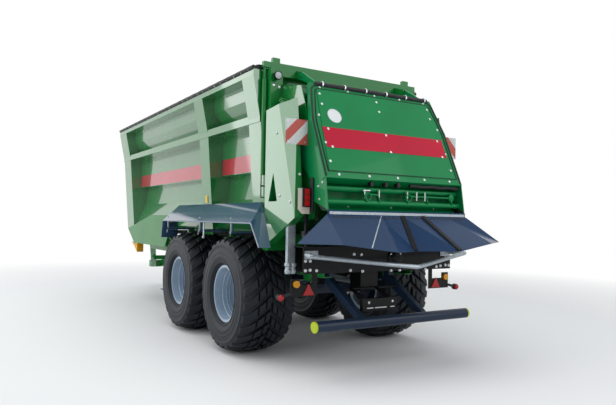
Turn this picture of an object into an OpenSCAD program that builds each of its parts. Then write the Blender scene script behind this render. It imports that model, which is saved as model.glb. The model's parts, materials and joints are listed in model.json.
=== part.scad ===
// Trailed manure spreader with a tandem axle, a scraper floor, lying beaters
// and two spreading discs behind a hinged hood.
// The datum of the working coordinates is the ground under the middle of the rear axle:
// x runs forward to the drawbar, y to the left, z up.

/* [Wheels and axles] */
// Outside diameter of a tyre over its lugs
tyre_d = 1480; // [1400:10:1560]
// Width of a tyre
tyre_w = 720; // [640:10:760]
// Diameter over the rim flange
rim_d = 724; // [690:2:780]
// Distance between the middles of the left and right tyres
track = 2190; // [2120:10:2280]
// Distance between the front and the rear axle
axle_spacing = 1740; // [1650:10:1850]
// Side of the square axle beam
axle_side = 130; // [110:5:140]
// Lugs round each half of a tyre
lug_count = 26; // [20:2:30]
// Height of a lug
lug_h = 42; // [25:1:55]

/* [Chassis] */
// Height of a main rail
rail_h = 300; // [260:10:340]
// Width of a main rail
rail_w = 110; // [90:5:130]
// From the front of the load box to the middle of the towing eye
drawbar_l = 1700; // [1500:10:2000]
// Height of the towing eye above the ground
eye_z = 560; // [450:10:700]
// Bore of the towing eye
eye_bore_d = 50.5; // [40:0.5:60]
// Diameter of the power take-off stub
stub_d = 35; // [30:1:45]
// Length of the power take-off stub
stub_l = 80; // [60:5:100]

/* [Load box] */
// Length of the load box
box_l = 6530; // [5800:10:7000]
// From the rear axle back to the rear of the load box
box_overhang = 530; // [450:10:620]
// Sheet thickness of the box walls
wall_t = 6; // [4:1:10]
// Half width of the wall foot outside the sill
foot_half_w = 1046; // [1030:2:1070]
// Half width of the wall at the ledge over the mudguard
ledge_half_w = 865; // [850:5:880]
// Half width of the lower wall under the step
low_half_w = 830; // [810:5:845]
// Half width of the middle wall panel
panel_half_w = 965; // [940:5:985]
// Half width of the flared upper wall
flare_half_w = 1110; // [1080:5:1120]
// Half width of the wall at its rim
rim_half_w = 1130; // [1122:2:1150]
// Height of the wall rim above the floor
rim_h = 1870; // [1800:10:1950]

/* [Spreading unit] */
// Diameter of a beater over its teeth
beater_d = 720; // [660:10:730]
// Diameter of a spreading disc
disc_d = 1000; // [900:10:1030]
// Distance between the two spreading discs
disc_spacing = 1060; // [1050:5:1120]
// Blades on a spreading disc
blade_count = 6; // [4:1:8]
// Half width of the hood at its lower edge
hood_half_w = 1023; // [1016:1:1040]
// Half width of the hood at its upper edge
hood_top_half_w = 932; // [900:2:960]
// How far the rear of the hood reaches behind its upper edge
hood_slope_l = 502; // [460:2:540]
// Diameter of the underrun bar
underrun_d = 120; // [100:5:140]
// Half length of the underrun bar
underrun_half_l = 1105; // [1000:5:1150]

/* [Hidden] */
$fn = 64;

// Colours of the finishes
paint_green = "#0f7a35";
paint_dark = "#232a35";
paint_red = "#b3122f";
galvanised = "#a8b3bd";
rim_silver = "#9aa7b3";
rubber_black = "#17191c";
signal_yellow = "#d9a514";
cap_lime = "#c6d52b";
lamp_red = "#b01020";
lamp_amber = "#e08a1e";
sign_white = "#eef0f0";

// Common clearances: cuts run past faces, welded pieces run into each other, pins and shafts run free,
// and panels move clear
overrun = 2;
weld_lap = 3;
fit_gap = 0.3;
run_gap = 6;

// Heights, stacked up from the ground: the rails ride on the springs, and the floor clears tyres and rails
axle_z = tyre_d / 2;
leaf_t = 14;
leaf_count = 4;
spring_camber = 90;
hanger_h = 69;
spring_seat_z = axle_z + axle_side / 2;
spring_top_z = spring_seat_z + leaf_count * leaf_t + spring_camber;
rail_bottom = spring_top_z + hanger_h;
rail_top = rail_bottom + rail_h;
bump_gap = 20;
joist_h = 72;
floor_t = 8;
frame_gap = 180;
sill_z = max(tyre_d + bump_gap, rail_top + frame_gap);
floor_z = sill_z + joist_h + floor_t;
rim_z = floor_z + rim_h;

// Places along the machine
box_rear = -box_overhang;
box_front = box_rear + box_l;
eye_x = box_front + drawbar_l;
eye_r = 60;
x_front = eye_x + eye_r;

// Widths
trough_inset = 110;
trough_half_w = low_half_w - trough_inset;
slat_gap = 20;
slat_half_w = trough_half_w - slat_gap;
tyre_in = (track - tyre_w) / 2;
rail_gap = 60;
rail_out = min(tyre_in - rail_gap, trough_half_w);
rail_in = rail_out - rail_w;

// Basic solids between two corners, or drawn in one plane and pushed along the third axis
module span(lo, hi) { translate(lo) cube(hi - lo); }
module prism_x(points, x0, x1) {
    translate([x0, 0, 0]) rotate([90, 0, 90]) linear_extrude(x1 - x0) polygon(points);
}
module prism_y(points, y0, y1) {
    translate([0, y1, 0]) rotate([90, 0, 0]) linear_extrude(y1 - y0) polygon(points);
}
module bar_x(x0, x1, y, z, d) { translate([x0, y, z]) rotate([0, 90, 0]) cylinder(d = d, h = x1 - x0); }
module bar_y(x, z, d, y0, y1) { translate([x, y0, z]) rotate([-90, 0, 0]) cylinder(d = d, h = y1 - y0); }
module side(s) { if (s > 0) children(); else mirror([0, 1, 0]) children(); }
module both_sides() { for (s = [1, -1]) side(s) children(); }

// A folded sheet: a path and the same path set off by the sheet's thickness to its left
function unit(v) = v / norm(v);
function left_of(v) = [-v[1], v[0]];
function fold_normal(p, i) = left_of(unit(p[i + 1] - p[i]));
function mitre(p, i, t) =
    i == 0 ? p[0] + t * fold_normal(p, 0) :
    i == len(p) - 1 ? p[i] + t * fold_normal(p, i - 1) :
    let (a = fold_normal(p, i - 1), b = fold_normal(p, i)) p[i] + t * (a + b) / (1 + a * b);
function set_off(p, t) = [for (i = [0 : len(p) - 1]) mitre(p, i, t)];
function reversed(p) = [for (i = [len(p) - 1 : -1 : 0]) p[i]];
function sheet(p, t) = concat(p, reversed(set_off(p, t)));
function mirrored(p) = [for (q = reversed(p)) [-q[0], q[1]]];

// A folded shell: columns of two points each, joined to a strip, and the same strip moved
// by a shift for each column
module shell(cols, shifts) {
    n = len(cols);
    m = 2 * n;
    outer = [for (c = cols, q = c) q];
    inner = [for (i = [0 : n - 1], q = cols[i]) q + shifts[i]];
    strips = [for (i = [0 : 2 : m - 4]) [[i, i + 2, i + 3], [i, i + 3, i + 1],
        [m + i, m + i + 3, m + i + 2], [m + i, m + i + 1, m + i + 3],
        [i + 2, i, m + i], [i + 2, m + i, m + i + 2],
        [i + 1, i + 3, m + i + 3], [i + 1, m + i + 3, m + i + 1]]];
    ends = [[0, 1, m + 1], [0, m + 1, m], [m - 1, m - 2, 2 * m - 2], [m - 1, 2 * m - 2, 2 * m - 1]];
    polyhedron(concat(outer, inner), concat([for (k = strips, f = k) f], ends));
}

// A bent tube: a path with its corners rounded off, and a ring of points square to the path
// at each place on it
tube_sides = 12;
bend_steps = 4;
function corner(p, i, set_back) =
    let (a = p[i] + set_back * unit(p[i - 1] - p[i]), b = p[i] + set_back * unit(p[i + 1] - p[i]))
    [for (k = [0 : bend_steps]) let (u = k / bend_steps)
        (1 - u) * (1 - u) * a + 2 * u * (1 - u) * p[i] + u * u * b];
function bent(p, set_back) =
    concat([p[0]], [for (i = [1 : len(p) - 2], q = corner(p, i, set_back)) q], [p[len(p) - 1]]);
function heading(p, i) = unit((i < len(p) - 1 ? unit(p[i + 1] - p[i]) : [0, 0, 0])
    + (i > 0 ? unit(p[i] - p[i - 1]) : [0, 0, 0]));
function ring(c, along, flat, r) = let (a = unit(cross(flat, along)), b = cross(along, a))
    [for (k = [0 : tube_sides - 1]) c + r * (cos(360 * k / tube_sides) * a + sin(360 * k / tube_sides) * b)];
module bent_tube(p, flat, d) {
    n = len(p);
    points = [for (i = [0 : n - 1], q = ring(p[i], heading(p, i), flat, d / 2)) q];
    skin = [for (i = [0 : n - 2], k = [0 : tube_sides - 1]) let (m = (k + 1) % tube_sides, a = i * tube_sides)
        [[a + k, a + tube_sides + k, a + m], [a + m, a + tube_sides + k, a + tube_sides + m]]];
    ends = [[for (k = [0 : tube_sides - 1]) k],
        [for (k = [tube_sides - 1 : -1 : 0]) (n - 1) * tube_sides + k]];
    polyhedron(points, concat([for (two = skin, f = two) f], ends));
}

// The finished part has its origin on the ground under the middle of its length
module part_frame() { translate([-(x_front + x_rear) / 2, 0, 0]) children(); }

// Chassis: two channel rails open to the middle, joined by cross tubes; spring hangers sit below
// the rails and two bearing blocks under the cross tubes carry the drive shaft
rail_t = 12;
cross_side = 100;
chassis_inset = 300;
chassis_tail = 660;
chassis_front = box_front - chassis_inset;
chassis_rear = box_rear - chassis_tail;
chassis_l = chassis_front - chassis_rear;
cross_places_share = [0.03, 0.155, 0.31, 0.55, 0.78, 0.98];
bearing_places_share = [0.31, 0.98];
rail_mid_z = (rail_top + rail_bottom) / 2;
hanger_l = 130;
spring_y = (rail_in + rail_out) / 2;
spring_w = 80;
rocker_arm = 90;
spring_half_l = axle_spacing / 2 - rocker_arm;
shaft_drop = 90;
shaft_z = rail_bottom - shaft_drop;
shaft_d = 76;
bearing_side = 130;

module chassis() color(paint_green) difference() {
    union() {
        both_sides() {
            difference() {
                span([chassis_rear, rail_in, rail_bottom], [chassis_front, rail_out, rail_top]);
                span([chassis_rear - overrun, rail_in - overrun, rail_bottom + rail_t],
                    [chassis_front + overrun, rail_out - rail_t, rail_top - rail_t]);
            }
            for (x = [-spring_half_l, axle_spacing / 2, axle_spacing + spring_half_l])
                span([x - hanger_l / 2, spring_y - spring_w / 2, spring_top_z],
                    [x + hanger_l / 2, spring_y + spring_w / 2, rail_bottom + weld_lap]);
        }
        for (k = cross_places_share) {
            x = chassis_rear + k * chassis_l;
            span([x - cross_side / 2, rail_t - rail_out, rail_mid_z - cross_side / 2],
                [x + cross_side / 2, rail_out - rail_t, rail_mid_z + cross_side / 2]);
        }
        for (k = bearing_places_share) {
            x = chassis_rear + k * chassis_l;
            span([x - cross_side / 2, -bearing_side / 2, shaft_z - bearing_side / 2],
                [x + cross_side / 2, bearing_side / 2, rail_mid_z]);
        }
    }
    bar_x(chassis_rear - overrun, chassis_front + overrun, 0, shaft_z, shaft_d + 2 * fit_gap);
}

// Drawbar: two tapering beams that meet in a head block, with a tie between them for the jack
beam_w = 120;
beam_h = 200;
head_l = 180;
head_w = 340;
head_h = 160;
head_back = 400;
head_rear = eye_x - head_back;
head_front = head_rear + head_l;
beam_rear_z = rail_mid_z;
beam_tip_y = (head_w - beam_w) / 2;
slice = 2;
tie_share = 0.5;
tie_x = chassis_front + tie_share * (head_rear - chassis_front);
tie_y = spring_y + tie_share * (beam_tip_y - spring_y);
tie_z = beam_rear_z + tie_share * (eye_z - beam_rear_z) - beam_h / 2;
tie_side = 90;
jack_pin_d = 40;
jack_side = 90;
jack_lug_t = 14;
jack_lug_w = 110;
jack_pin_z = tie_z - tie_side / 2 - jack_lug_w / 2;
jack_lug_y = jack_side / 2 + run_gap;

module drawbar() color(paint_green) {
    both_sides() hull() {
        span([chassis_front, rail_in, beam_rear_z - beam_h / 2],
            [chassis_front + slice, rail_in + beam_w, beam_rear_z + beam_h / 2]);
        span([head_rear, beam_tip_y - beam_w / 2, eye_z - head_h / 2],
            [head_rear + slice, beam_tip_y + beam_w / 2, eye_z + head_h / 2]);
    }
    span([head_rear, -head_w / 2, eye_z - head_h / 2], [head_front, head_w / 2, eye_z + head_h / 2]);
    span([tie_x - tie_side / 2, -tie_y, tie_z - tie_side / 2],
        [tie_x + tie_side / 2, tie_y, tie_z + tie_side / 2]);
    both_sides() prism_y([[tie_x - jack_lug_w / 2, tie_z], [tie_x + jack_lug_w / 2, tie_z],
        [tie_x + jack_lug_w / 2, jack_pin_z], [tie_x, jack_pin_z - jack_lug_w / 2],
        [tie_x - jack_lug_w / 2, jack_pin_z]], jack_lug_y, jack_lug_y + jack_lug_t);
    bar_y(tie_x, jack_pin_z, jack_pin_d, -jack_lug_y - jack_lug_t, jack_lug_y + jack_lug_t);
}

// Towing eye: a ring on a shank with a bolted flange
eye_h = 60;
shank_d = 76;
neck_d = 52;
flange_d = 150;
flange_t = 30;

module towing_eye() color(galvanised) difference() {
    union() {
        translate([eye_x, 0, eye_z - eye_h / 2]) cylinder(r = eye_r, h = eye_h);
        bar_x(head_front, eye_x, 0, eye_z, neck_d);
        bar_x(head_front, head_front + flange_t, 0, eye_z, flange_d);
        bar_x(head_front, (head_front + eye_x) / 2, 0, eye_z, shank_d);
    }
    translate([eye_x, 0, 0]) cylinder(d = eye_bore_d, h = eye_z + flange_d);
}

// Jack: a swinging leg whose foot stands a little ahead of its pin, so that load holds it to its stop
foot_lead = 40;
foot_t = 16;
foot_l = 240;
foot_w = 260;

module jack_leg() color(paint_dark) difference() {
    union() {
        prism_y([[tie_x - jack_side / 2, jack_pin_z], [tie_x + jack_side / 2, jack_pin_z],
            [tie_x + foot_lead + jack_side / 2, 0], [tie_x + foot_lead - jack_side / 2, 0]],
            -jack_side / 2, jack_side / 2);
        bar_y(tie_x, jack_pin_z, jack_side, -jack_side / 2, jack_side / 2);
        span([tie_x + foot_lead - foot_l / 2, -foot_w / 2, 0],
            [tie_x + foot_lead + foot_l / 2, foot_w / 2, foot_t]);
    }
    bar_y(tie_x, jack_pin_z, jack_pin_d + 2 * fit_gap, -jack_side, jack_side);
}

// Axles: square beams with brake drums and hubs that stand through the rims
drum_d = 410;
drum_gap = 35;
drum_inset = 85;
drum_out = track / 2 - drum_inset;
hub_d = 280;
hub_stand = 20;
hub_out = track / 2 + hub_stand;

module axle(x) {
    span([x - axle_side / 2, -tyre_in - drum_gap, axle_z - axle_side / 2],
        [x + axle_side / 2, tyre_in + drum_gap, axle_z + axle_side / 2]);
    both_sides() {
        bar_y(x, axle_z, drum_d, tyre_in + drum_gap, drum_out);
        bar_y(x, axle_z, hub_d, drum_out, hub_out);
    }
}
module axles() color(paint_dark) for (x = [0, axle_spacing]) axle(x);

// Leaf springs: packs of leaves that curl up from the axle seat to the hangers
spring_stations = 8;
leaf_step_share = 0.22;
function leaf_path(x, k) = [for (i = [-spring_stations : spring_stations])
    let (u = i / spring_stations * (1 - k * leaf_step_share))
    [x + u * spring_half_l, spring_seat_z + (leaf_count - 1 - k) * leaf_t + spring_camber * u * u]];

clamp_half_l = 70;
clamp_t = 16;
clamp_lip = 12;
module leaf_springs() color(paint_dark) both_sides() for (x = [0, axle_spacing]) {
    for (k = [0 : leaf_count - 1])
        prism_y(sheet(leaf_path(x, k), leaf_t), spring_y - spring_w / 2, spring_y + spring_w / 2);
    span([x - clamp_half_l, spring_y - spring_w / 2 - clamp_lip, spring_seat_z],
        [x + clamp_half_l, spring_y + spring_w / 2 + clamp_lip,
            spring_seat_z + leaf_count * leaf_t + clamp_t]);
}

// Tyres: a solid carcass with slanting bars on both shoulders, turned so that one bar stands at the bottom
bead_drop = 26;
bead_r = rim_d / 2 - bead_drop;
tyre_half_w = tyre_w / 2;
tread_r = tyre_d / 2 - lug_h;
sidewall_shares = [[0, 0.785], [0.08, 0.785], [0.12, 0.90], [0.35, 1.0], [0.60, 0.99], [0.82, 0.94],
    [0.95, 0.85], [1.0, 0.70]];
lug_root = 80;
lug_w_share = 0.5;
lug_reach_share = 0.97;
lug_middle_share = 0.04;
lug_slant_share = 0.75;
function sidewall(s) = [for (k = sidewall_shares)
    [bead_r + fit_gap + k[0] * (tread_r - bead_r), s * k[1] * tyre_half_w]];

module tyre_ring() rotate_extrude() polygon(concat(sidewall(-1), reversed(sidewall(1))));
module lug(s) {
    pitch = 2 * PI * tread_r / lug_count;
    half = pitch * lug_w_share / 2;
    slant = pitch * lug_slant_share;
    far = s * lug_reach_share * tyre_half_w;
    near = s * lug_middle_share * tyre_half_w;
    prism_x([[-half, far], [half, far], [half + slant, near], [slant - half, near]],
        tread_r - lug_root, tyre_d / 2 + lug_h);
}
module tyre(x, s) color(rubber_black) side(s) translate([x, track / 2, axle_z]) rotate([-90, 0, 0]) {
    tyre_ring();
    intersection() {
        for (i = [0 : lug_count - 1], h = [1, -1])
            rotate([0, 0, 90 + (i + (1 - h) / 4) * 360 / lug_count]) lug(h);
        translate([0, 0, -tyre_half_w]) cylinder(d = tyre_d, h = tyre_w, $fn = 128);
    }
}
module tyre_front_left() tyre(axle_spacing, 1);
module tyre_front_right() tyre(axle_spacing, -1);
module tyre_rear_left() tyre(0, 1);
module tyre_rear_right() tyre(0, -1);

// Rims: a barrel with two steps down to a dished disc that sits on the hub
barrel_half_w = 300;
flange_lip = 14;
step_out_drop = 8;
step_in_drop = 32;
step_out_r = bead_r - step_out_drop;
step_in_r = bead_r - step_in_drop;
step_w = 190;
dish_w = 40;
dish_rise = 60;
dish_r = 220;
dish_t = 24;

module rim(x, s) color(rim_silver) side(s) translate([x, track / 2, axle_z]) rotate([-90, 0, 0])
    rotate_extrude() polygon([[bead_r, -barrel_half_w], [rim_d / 2, -barrel_half_w],
        [rim_d / 2, flange_lip - barrel_half_w],
        [bead_r, flange_lip - barrel_half_w], [bead_r, barrel_half_w - flange_lip],
        [rim_d / 2, barrel_half_w - flange_lip], [rim_d / 2, barrel_half_w], [step_out_r, barrel_half_w],
        [step_out_r, step_w], [step_in_r, step_w], [step_in_r, dish_w - dish_rise],
        [dish_r, dish_w - dish_t * 2], [dish_r, -dish_t], [hub_d / 2 + fit_gap, -dish_t],
        [hub_d / 2 + fit_gap, -2 * dish_t], [dish_r, -2 * dish_t], [step_in_r, -dish_rise - dish_t],
        [step_in_r, -barrel_half_w]]);
module rim_front_left() rim(axle_spacing, 1);
module rim_front_right() rim(axle_spacing, -1);
module rim_rear_left() rim(0, 1);
module rim_rear_right() rim(0, -1);

// Floor frame: sills along both sides on outriggers from the rails, with joists between the sills
sill_gap = 120;
sill_w = 110;
sill_in = trough_half_w + sill_gap;
sill_out = sill_in + sill_w;
sill_top = floor_z - bump_gap;
joist_w = 60;
outrigger_w = 70;
outrigger_gap = 130;
outrigger_drop = 220;
outrigger_lap = 20;
outrigger_front = axle_spacing + tyre_d / 2 + outrigger_gap;
outrigger_end = 450;
outrigger_last = box_front - outrigger_end;
outrigger_share = [0, 0.34, 0.67, 1];
outrigger_places = concat([axle_spacing / 2],
    [for (k = outrigger_share) outrigger_front + k * (outrigger_last - outrigger_front)]);
shaft_inset = 150;
rear_roller_x = box_rear + shaft_inset;
front_roller_x = box_front - shaft_inset;
run_l = front_roller_x - rear_roller_x;
joist_share = [0.07, 0.22, 0.37, 0.52, 0.67, 0.82, 0.95];

module floor_frame() color(paint_green) {
    both_sides() {
        span([box_rear, sill_in, sill_z], [box_front, sill_out, sill_top]);
        for (x = outrigger_places) prism_x([[rail_out, rail_top - outrigger_drop],
            [rail_out, rail_top - outrigger_lap], [sill_in, rail_top + outrigger_lap],
            [sill_in, sill_z + weld_lap], [sill_out, sill_z + weld_lap], [sill_out, rail_top]],
            x - outrigger_w / 2, x + outrigger_w / 2);
    }
    for (k = joist_share) {
        x = rear_roller_x + k * run_l;
        span([x - joist_w / 2, -sill_in - weld_lap, sill_z],
            [x + joist_w / 2, sill_in + weld_lap, sill_z + joist_h]);
    }
}

// Floor plate the scraper runs on, ending short of the chain rollers
floor_gap = 90;
module floor_plate() color(galvanised)
    span([rear_roller_x + floor_gap, -trough_half_w, floor_z - floor_t],
        [front_roller_x - floor_gap, trough_half_w, floor_z]);

// Scraper: two chain loops over rollers, carrying cross slats above and below the floor
chain_t = 24;
chain_w = 34;
chain_y = 450;
chain_in_r = 78;
roller_z = floor_z - chain_in_r;
roller_d = 60;
slat_w = 50;
slat_h = 40;
slat_count = 12;

module chain_loop(r) {
    for (x = [rear_roller_x, front_roller_x]) translate([x, roller_z]) circle(r);
    translate([rear_roller_x, roller_z - r]) square([run_l, 2 * r]);
}
module scraper_chain() color(galvanised) {
    both_sides() translate([0, chain_y + chain_w / 2, 0]) rotate([90, 0, 0]) linear_extrude(chain_w)
        difference() {
            chain_loop(chain_in_r + chain_t);
            chain_loop(chain_in_r);
        }
    for (i = [0 : slat_count - 1], up = [0, 1]) {
        x = rear_roller_x + (i + 1 / 2) * run_l / slat_count;
        z = up > 0 ? floor_z : roller_z - chain_in_r - slat_h;
        span([x - slat_w / 2, -slat_half_w, z], [x + slat_w / 2, slat_half_w, z + slat_h]);
    }
    for (x = [rear_roller_x, front_roller_x]) {
        bar_y(x, roller_z, roller_d, -sill_in, sill_in);
        both_sides() bar_y(x, roller_z, 2 * chain_in_r, chain_y - chain_w / 2, chain_y + chain_w / 2);
    }
}

// Side walls: folded sheets that stand out at the foot, step at half height and flare to the rim,
// with a slanting strip inside that leads the load to the scraper
foot_z = floor_z - bump_gap;
ledge_h = 385;
step_h = 720;
step_rise = 20;
panel_drop = 450;
flare_drop = 200;
ledge_z = floor_z + ledge_h;
step_z = floor_z + step_h;
panel_z = rim_z - panel_drop;
flare_z = rim_z - flare_drop;
wall_path = [[foot_half_w, foot_z], [ledge_half_w, ledge_z], [low_half_w, step_z],
    [panel_half_w, step_z + step_rise], [panel_half_w, panel_z], [flare_half_w, flare_z],
    [rim_half_w, rim_z]];
inner_path = set_off(wall_path, wall_t);
trough_foot = [trough_half_w, floor_z];

module side_walls() color(paint_green) both_sides() {
    prism_x(sheet(wall_path, wall_t), box_rear, box_front);
    prism_x(sheet([inner_path[1], trough_foot], wall_t), box_rear, box_front);
}

// Wall frames: hollow posts outside the walls, joined by a middle channel and the top rail
post_foot_y = 1090;
post_mid_y = 1200;
post_top_y = 1310;
post_foot_drop = 110;
post_foot_z = foot_z - post_foot_drop;
rail_band_h = 100;
rail_band_drop = 10;
band_top = panel_z - rail_band_drop;
band_bottom = band_top - rail_band_h;
band_stand = 12;
band_out = post_mid_y + band_stand;
top_rail_h = 80;
rail_seat = 0.8;
rail_lap = 12;
top_rail_in = rim_half_w - rail_lap;
front_post_w = 500;
mid_post_w = 350;
rear_post_w = 330;
mid_post_share = 0.26;
mid_post_x = box_rear + mid_post_share * box_l;
frame_t = 6;
post_line = [[post_top_y, rim_z], [post_mid_y, band_bottom], [post_foot_y, post_foot_z]];
posts = [[box_rear, box_rear + rear_post_w], [mid_post_x, mid_post_x + mid_post_w],
    [box_front - front_post_w, box_front]];

module wall_frames() color(paint_green) both_sides() {
    for (p = posts) {
        for (x = [p[0], p[1] - frame_t]) prism_x(concat(wall_path, post_line), x, x + frame_t);
        prism_x(concat(post_line, reversed(set_off(post_line, -frame_t))), p[0], p[1]);
    }
    prism_x(sheet([[panel_half_w, band_top], [band_out, band_top], [band_out, band_bottom],
        [panel_half_w, band_bottom]], -frame_t), box_rear, box_front);
    span([box_rear, top_rail_in, rim_z + rail_seat], [box_front, post_top_y, rim_z + top_rail_h]);
}

// Rounded dark lips on the top rails
lip_h = 60;
lip_steps = 12;
module top_lips() color(rubber_black) both_sides()
    prism_x([for (i = [0 : lip_steps]) let (a = 180 * i / lip_steps)
        [(top_rail_in + post_top_y) / 2 + (post_top_y - top_rail_in) / 2 * cos(a),
            rim_z + top_rail_h + lip_h * sin(a)]], box_rear, box_front);

// Front wall between the side walls, with upright stiffeners on its outside that bar its window
front_t = 6;
front_gap = 60;
stiff_w = 60;
stiff_d = 50;
stiff_share = [-0.6, -0.2, 0.2, 0.6];
front_x = box_front - stiff_d - front_t;
front_foot_share = front_gap / ledge_h;
front_half = concat([trough_foot + front_foot_share * (inner_path[1] - trough_foot)],
    [for (i = [1 : len(inner_path) - 1]) inner_path[i]]);

window_half_w = 640;
window_top_drop = 120;
window_h = 330;

module front_wall() color(paint_green) {
    difference() {
        prism_x(concat(front_half, mirrored(front_half)), front_x, front_x + front_t);
        span([front_x - overrun, -window_half_w, rim_z - window_top_drop - window_h],
            [front_x + front_t + overrun, window_half_w, rim_z - window_top_drop]);
    }
    for (k = stiff_share)
        span([front_x + front_t - weld_lap, k * low_half_w - stiff_w / 2, floor_z + front_gap],
            [box_front, k * low_half_w + stiff_w / 2, rim_z]);
    span([front_x + front_t - weld_lap, -low_half_w, ledge_z], [box_front, low_half_w, ledge_z + stiff_w]);
}

// Plain colour bands on the middle wall panels between the posts
decal_t = 3;
decal_h = 230;
decal_gap = 10;
module side_bands() color(paint_red) both_sides() for (i = [0, 1])
    span([posts[i][1] + decal_gap, panel_half_w, step_z + step_rise + decal_gap],
        [posts[i + 1][0] - decal_gap, panel_half_w + decal_t, step_z + step_rise + decal_gap + decal_h]);

// Side skirts under the front half of the box, on arms from the sills, with a shelf for the wheel chocks
skirt_stand = 9;
skirt_y = post_foot_y + skirt_stand;
skirt_t = 6;
skirt_rear_gap = 420;
skirt_rear = axle_spacing + tyre_d / 2 + skirt_rear_gap;
skirt_front_gap = 60;
skirt_front = box_front - skirt_front_gap;
skirt_peak_back = 1720;
skirt_peak_x = box_front - skirt_peak_back;
skirt_rise = 157;
skirt_top = floor_z + skirt_rise;
skirt_front_z = post_foot_z;
skirt_drop = 10;
skirt_low_z = rail_mid_z - skirt_drop;
skirt_lead = 500;
skirt_arm_w = 50;
shelf_l = 400;
shelf_back = 720;
shelf_x = box_front - shelf_back;

module side_skirts() color(paint_green) both_sides() {
    prism_y([[skirt_front, skirt_front_z], [skirt_peak_x, skirt_top], [skirt_rear, skirt_top],
        [skirt_rear + skirt_lead, skirt_low_z], [skirt_front - skirt_lead, skirt_low_z]],
        skirt_y, skirt_y + skirt_t);
    for (x = [outrigger_places[2], outrigger_places[3]])
        span([x - skirt_arm_w / 2, sill_out, sill_z],
            [x + skirt_arm_w / 2, skirt_y + weld_lap, sill_top - skirt_t]);
    span([shelf_x, sill_out, skirt_low_z], [shelf_x + shelf_l, skirt_y + weld_lap, skirt_low_z + skirt_t]);
}

// Wheel chocks hung under the shelves
chock_w = 130;
chock_h = 190;
chock_l = 380;
module wheel_chocks() color(signal_yellow) both_sides()
    prism_y([[shelf_x, skirt_low_z], [shelf_x + chock_l, skirt_low_z], [shelf_x, skirt_low_z - chock_h]],
        sill_out, sill_out + chock_w);

// Mudguards: a slanting sheet over both wheels with a flap at each end, on arms from the sills
guard_t = 5;
guard_edge = 5;
guard_out = track / 2 + tyre_half_w - guard_edge;
guard_in = 1175;
flap_in_low = 1295;
guard_clear = 165;
guard_rise = 255;
guard_low = tyre_d + guard_clear;
guard_high = guard_low + guard_rise;
guard_front_inset = 30;
guard_rear_inset = 170;
guard_rear_stand = 70;
guard_front = axle_spacing + tyre_d / 2 - guard_front_inset;
guard_rear_in = -tyre_d / 2 + guard_rear_inset;
guard_rear_out = -tyre_d / 2 - guard_rear_stand;
flap_drop = 105;
flap_low = tyre_d - flap_drop;
flap_front_run = 50;
flap_rear_run = 220;
arm_d = 40;
arm_rear_inset = 60;
arm_front_inset = 100;
arm_places = [box_rear + rear_post_w + arm_rear_inset, axle_spacing / 2 + outrigger_w,
    guard_front - arm_front_inset];
arm_side_inset = 70;
arm_y = guard_out - arm_side_inset;
arm_z = sill_z + arm_d / 2;
arm_top = guard_low + (guard_high - guard_low) * (guard_out - arm_y) / (guard_out - guard_in);

guard_cols = [
    [[guard_front + flap_front_run, guard_in, flap_low],
        [guard_front + flap_front_run, guard_out, flap_low]],
    [[guard_front, guard_in, guard_high], [guard_front, guard_out, guard_low]],
    [[guard_rear_in, guard_in, guard_high], [guard_rear_out, guard_out, guard_low]],
    [[guard_rear_out - flap_rear_run, flap_in_low, flap_low],
        [guard_rear_out - flap_rear_run, guard_out, flap_low]]
];
guard_shifts = [for (k = [-1, -1, 1, 1]) guard_t * [k, 0, -1]];

module mudguards() color(paint_dark) both_sides() {
    shell(guard_cols, guard_shifts);
    for (x = arm_places) {
        bar_y(x, arm_z, arm_d, sill_out, arm_y + arm_d / 2);
        translate([x, arm_y, arm_z]) cylinder(d = arm_d, h = arm_top - arm_z);
    }
}

// Portal behind the box: two columns with a slot for the gate, a foot beam and a top beam
portal_d = 155;
portal_rear = box_rear - portal_d;
column_in = 985;
column_out = 1150;
portal_rise = 90;
portal_top = rim_z + portal_rise;
slot_back = 15;
slot_w = 50;
slot_front = box_rear - slot_back;
slot_rear = slot_front - slot_w;
slot_depth = 50;
foot_beam_gap = 12;
foot_beam_front = box_rear - foot_beam_gap;
top_beam_h = 100;
top_beam_gap = 10;
top_beam_front = slot_rear - top_beam_gap;
pivot_back = 290;
pivot_drop = 10;
pivot_x = box_rear - pivot_back;
pivot_z = rim_z - pivot_drop;
pivot_d = 40;
pivot_boss_d = 90;
pivot_y = 800;
lug_t = 20;

module portal() color(paint_green) {
    both_sides() difference() {
        span([portal_rear, column_in, sill_z - weld_lap], [box_rear, column_out, portal_top]);
        span([slot_rear, column_in - overrun, sill_z],
            [slot_front, column_in + slot_depth, portal_top + overrun]);
    }
    span([portal_rear, -column_out, rail_top], [foot_beam_front, column_out, sill_z]);
    span([portal_rear, -column_out, portal_top - top_beam_h], [top_beam_front, column_out, portal_top]);
    both_sides() {
        prism_y([[portal_rear, portal_top - top_beam_h], [portal_rear, portal_top],
            [pivot_x - pivot_boss_d / 2, pivot_z + pivot_boss_d / 2],
            [pivot_x - pivot_boss_d / 2, pivot_z - pivot_d]],
            pivot_y - lug_t - run_gap, pivot_y - run_gap);
        bar_y(pivot_x, pivot_z, pivot_d, pivot_y - lug_t - run_gap, pivot_y + lug_t + run_gap);
    }
}

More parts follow.
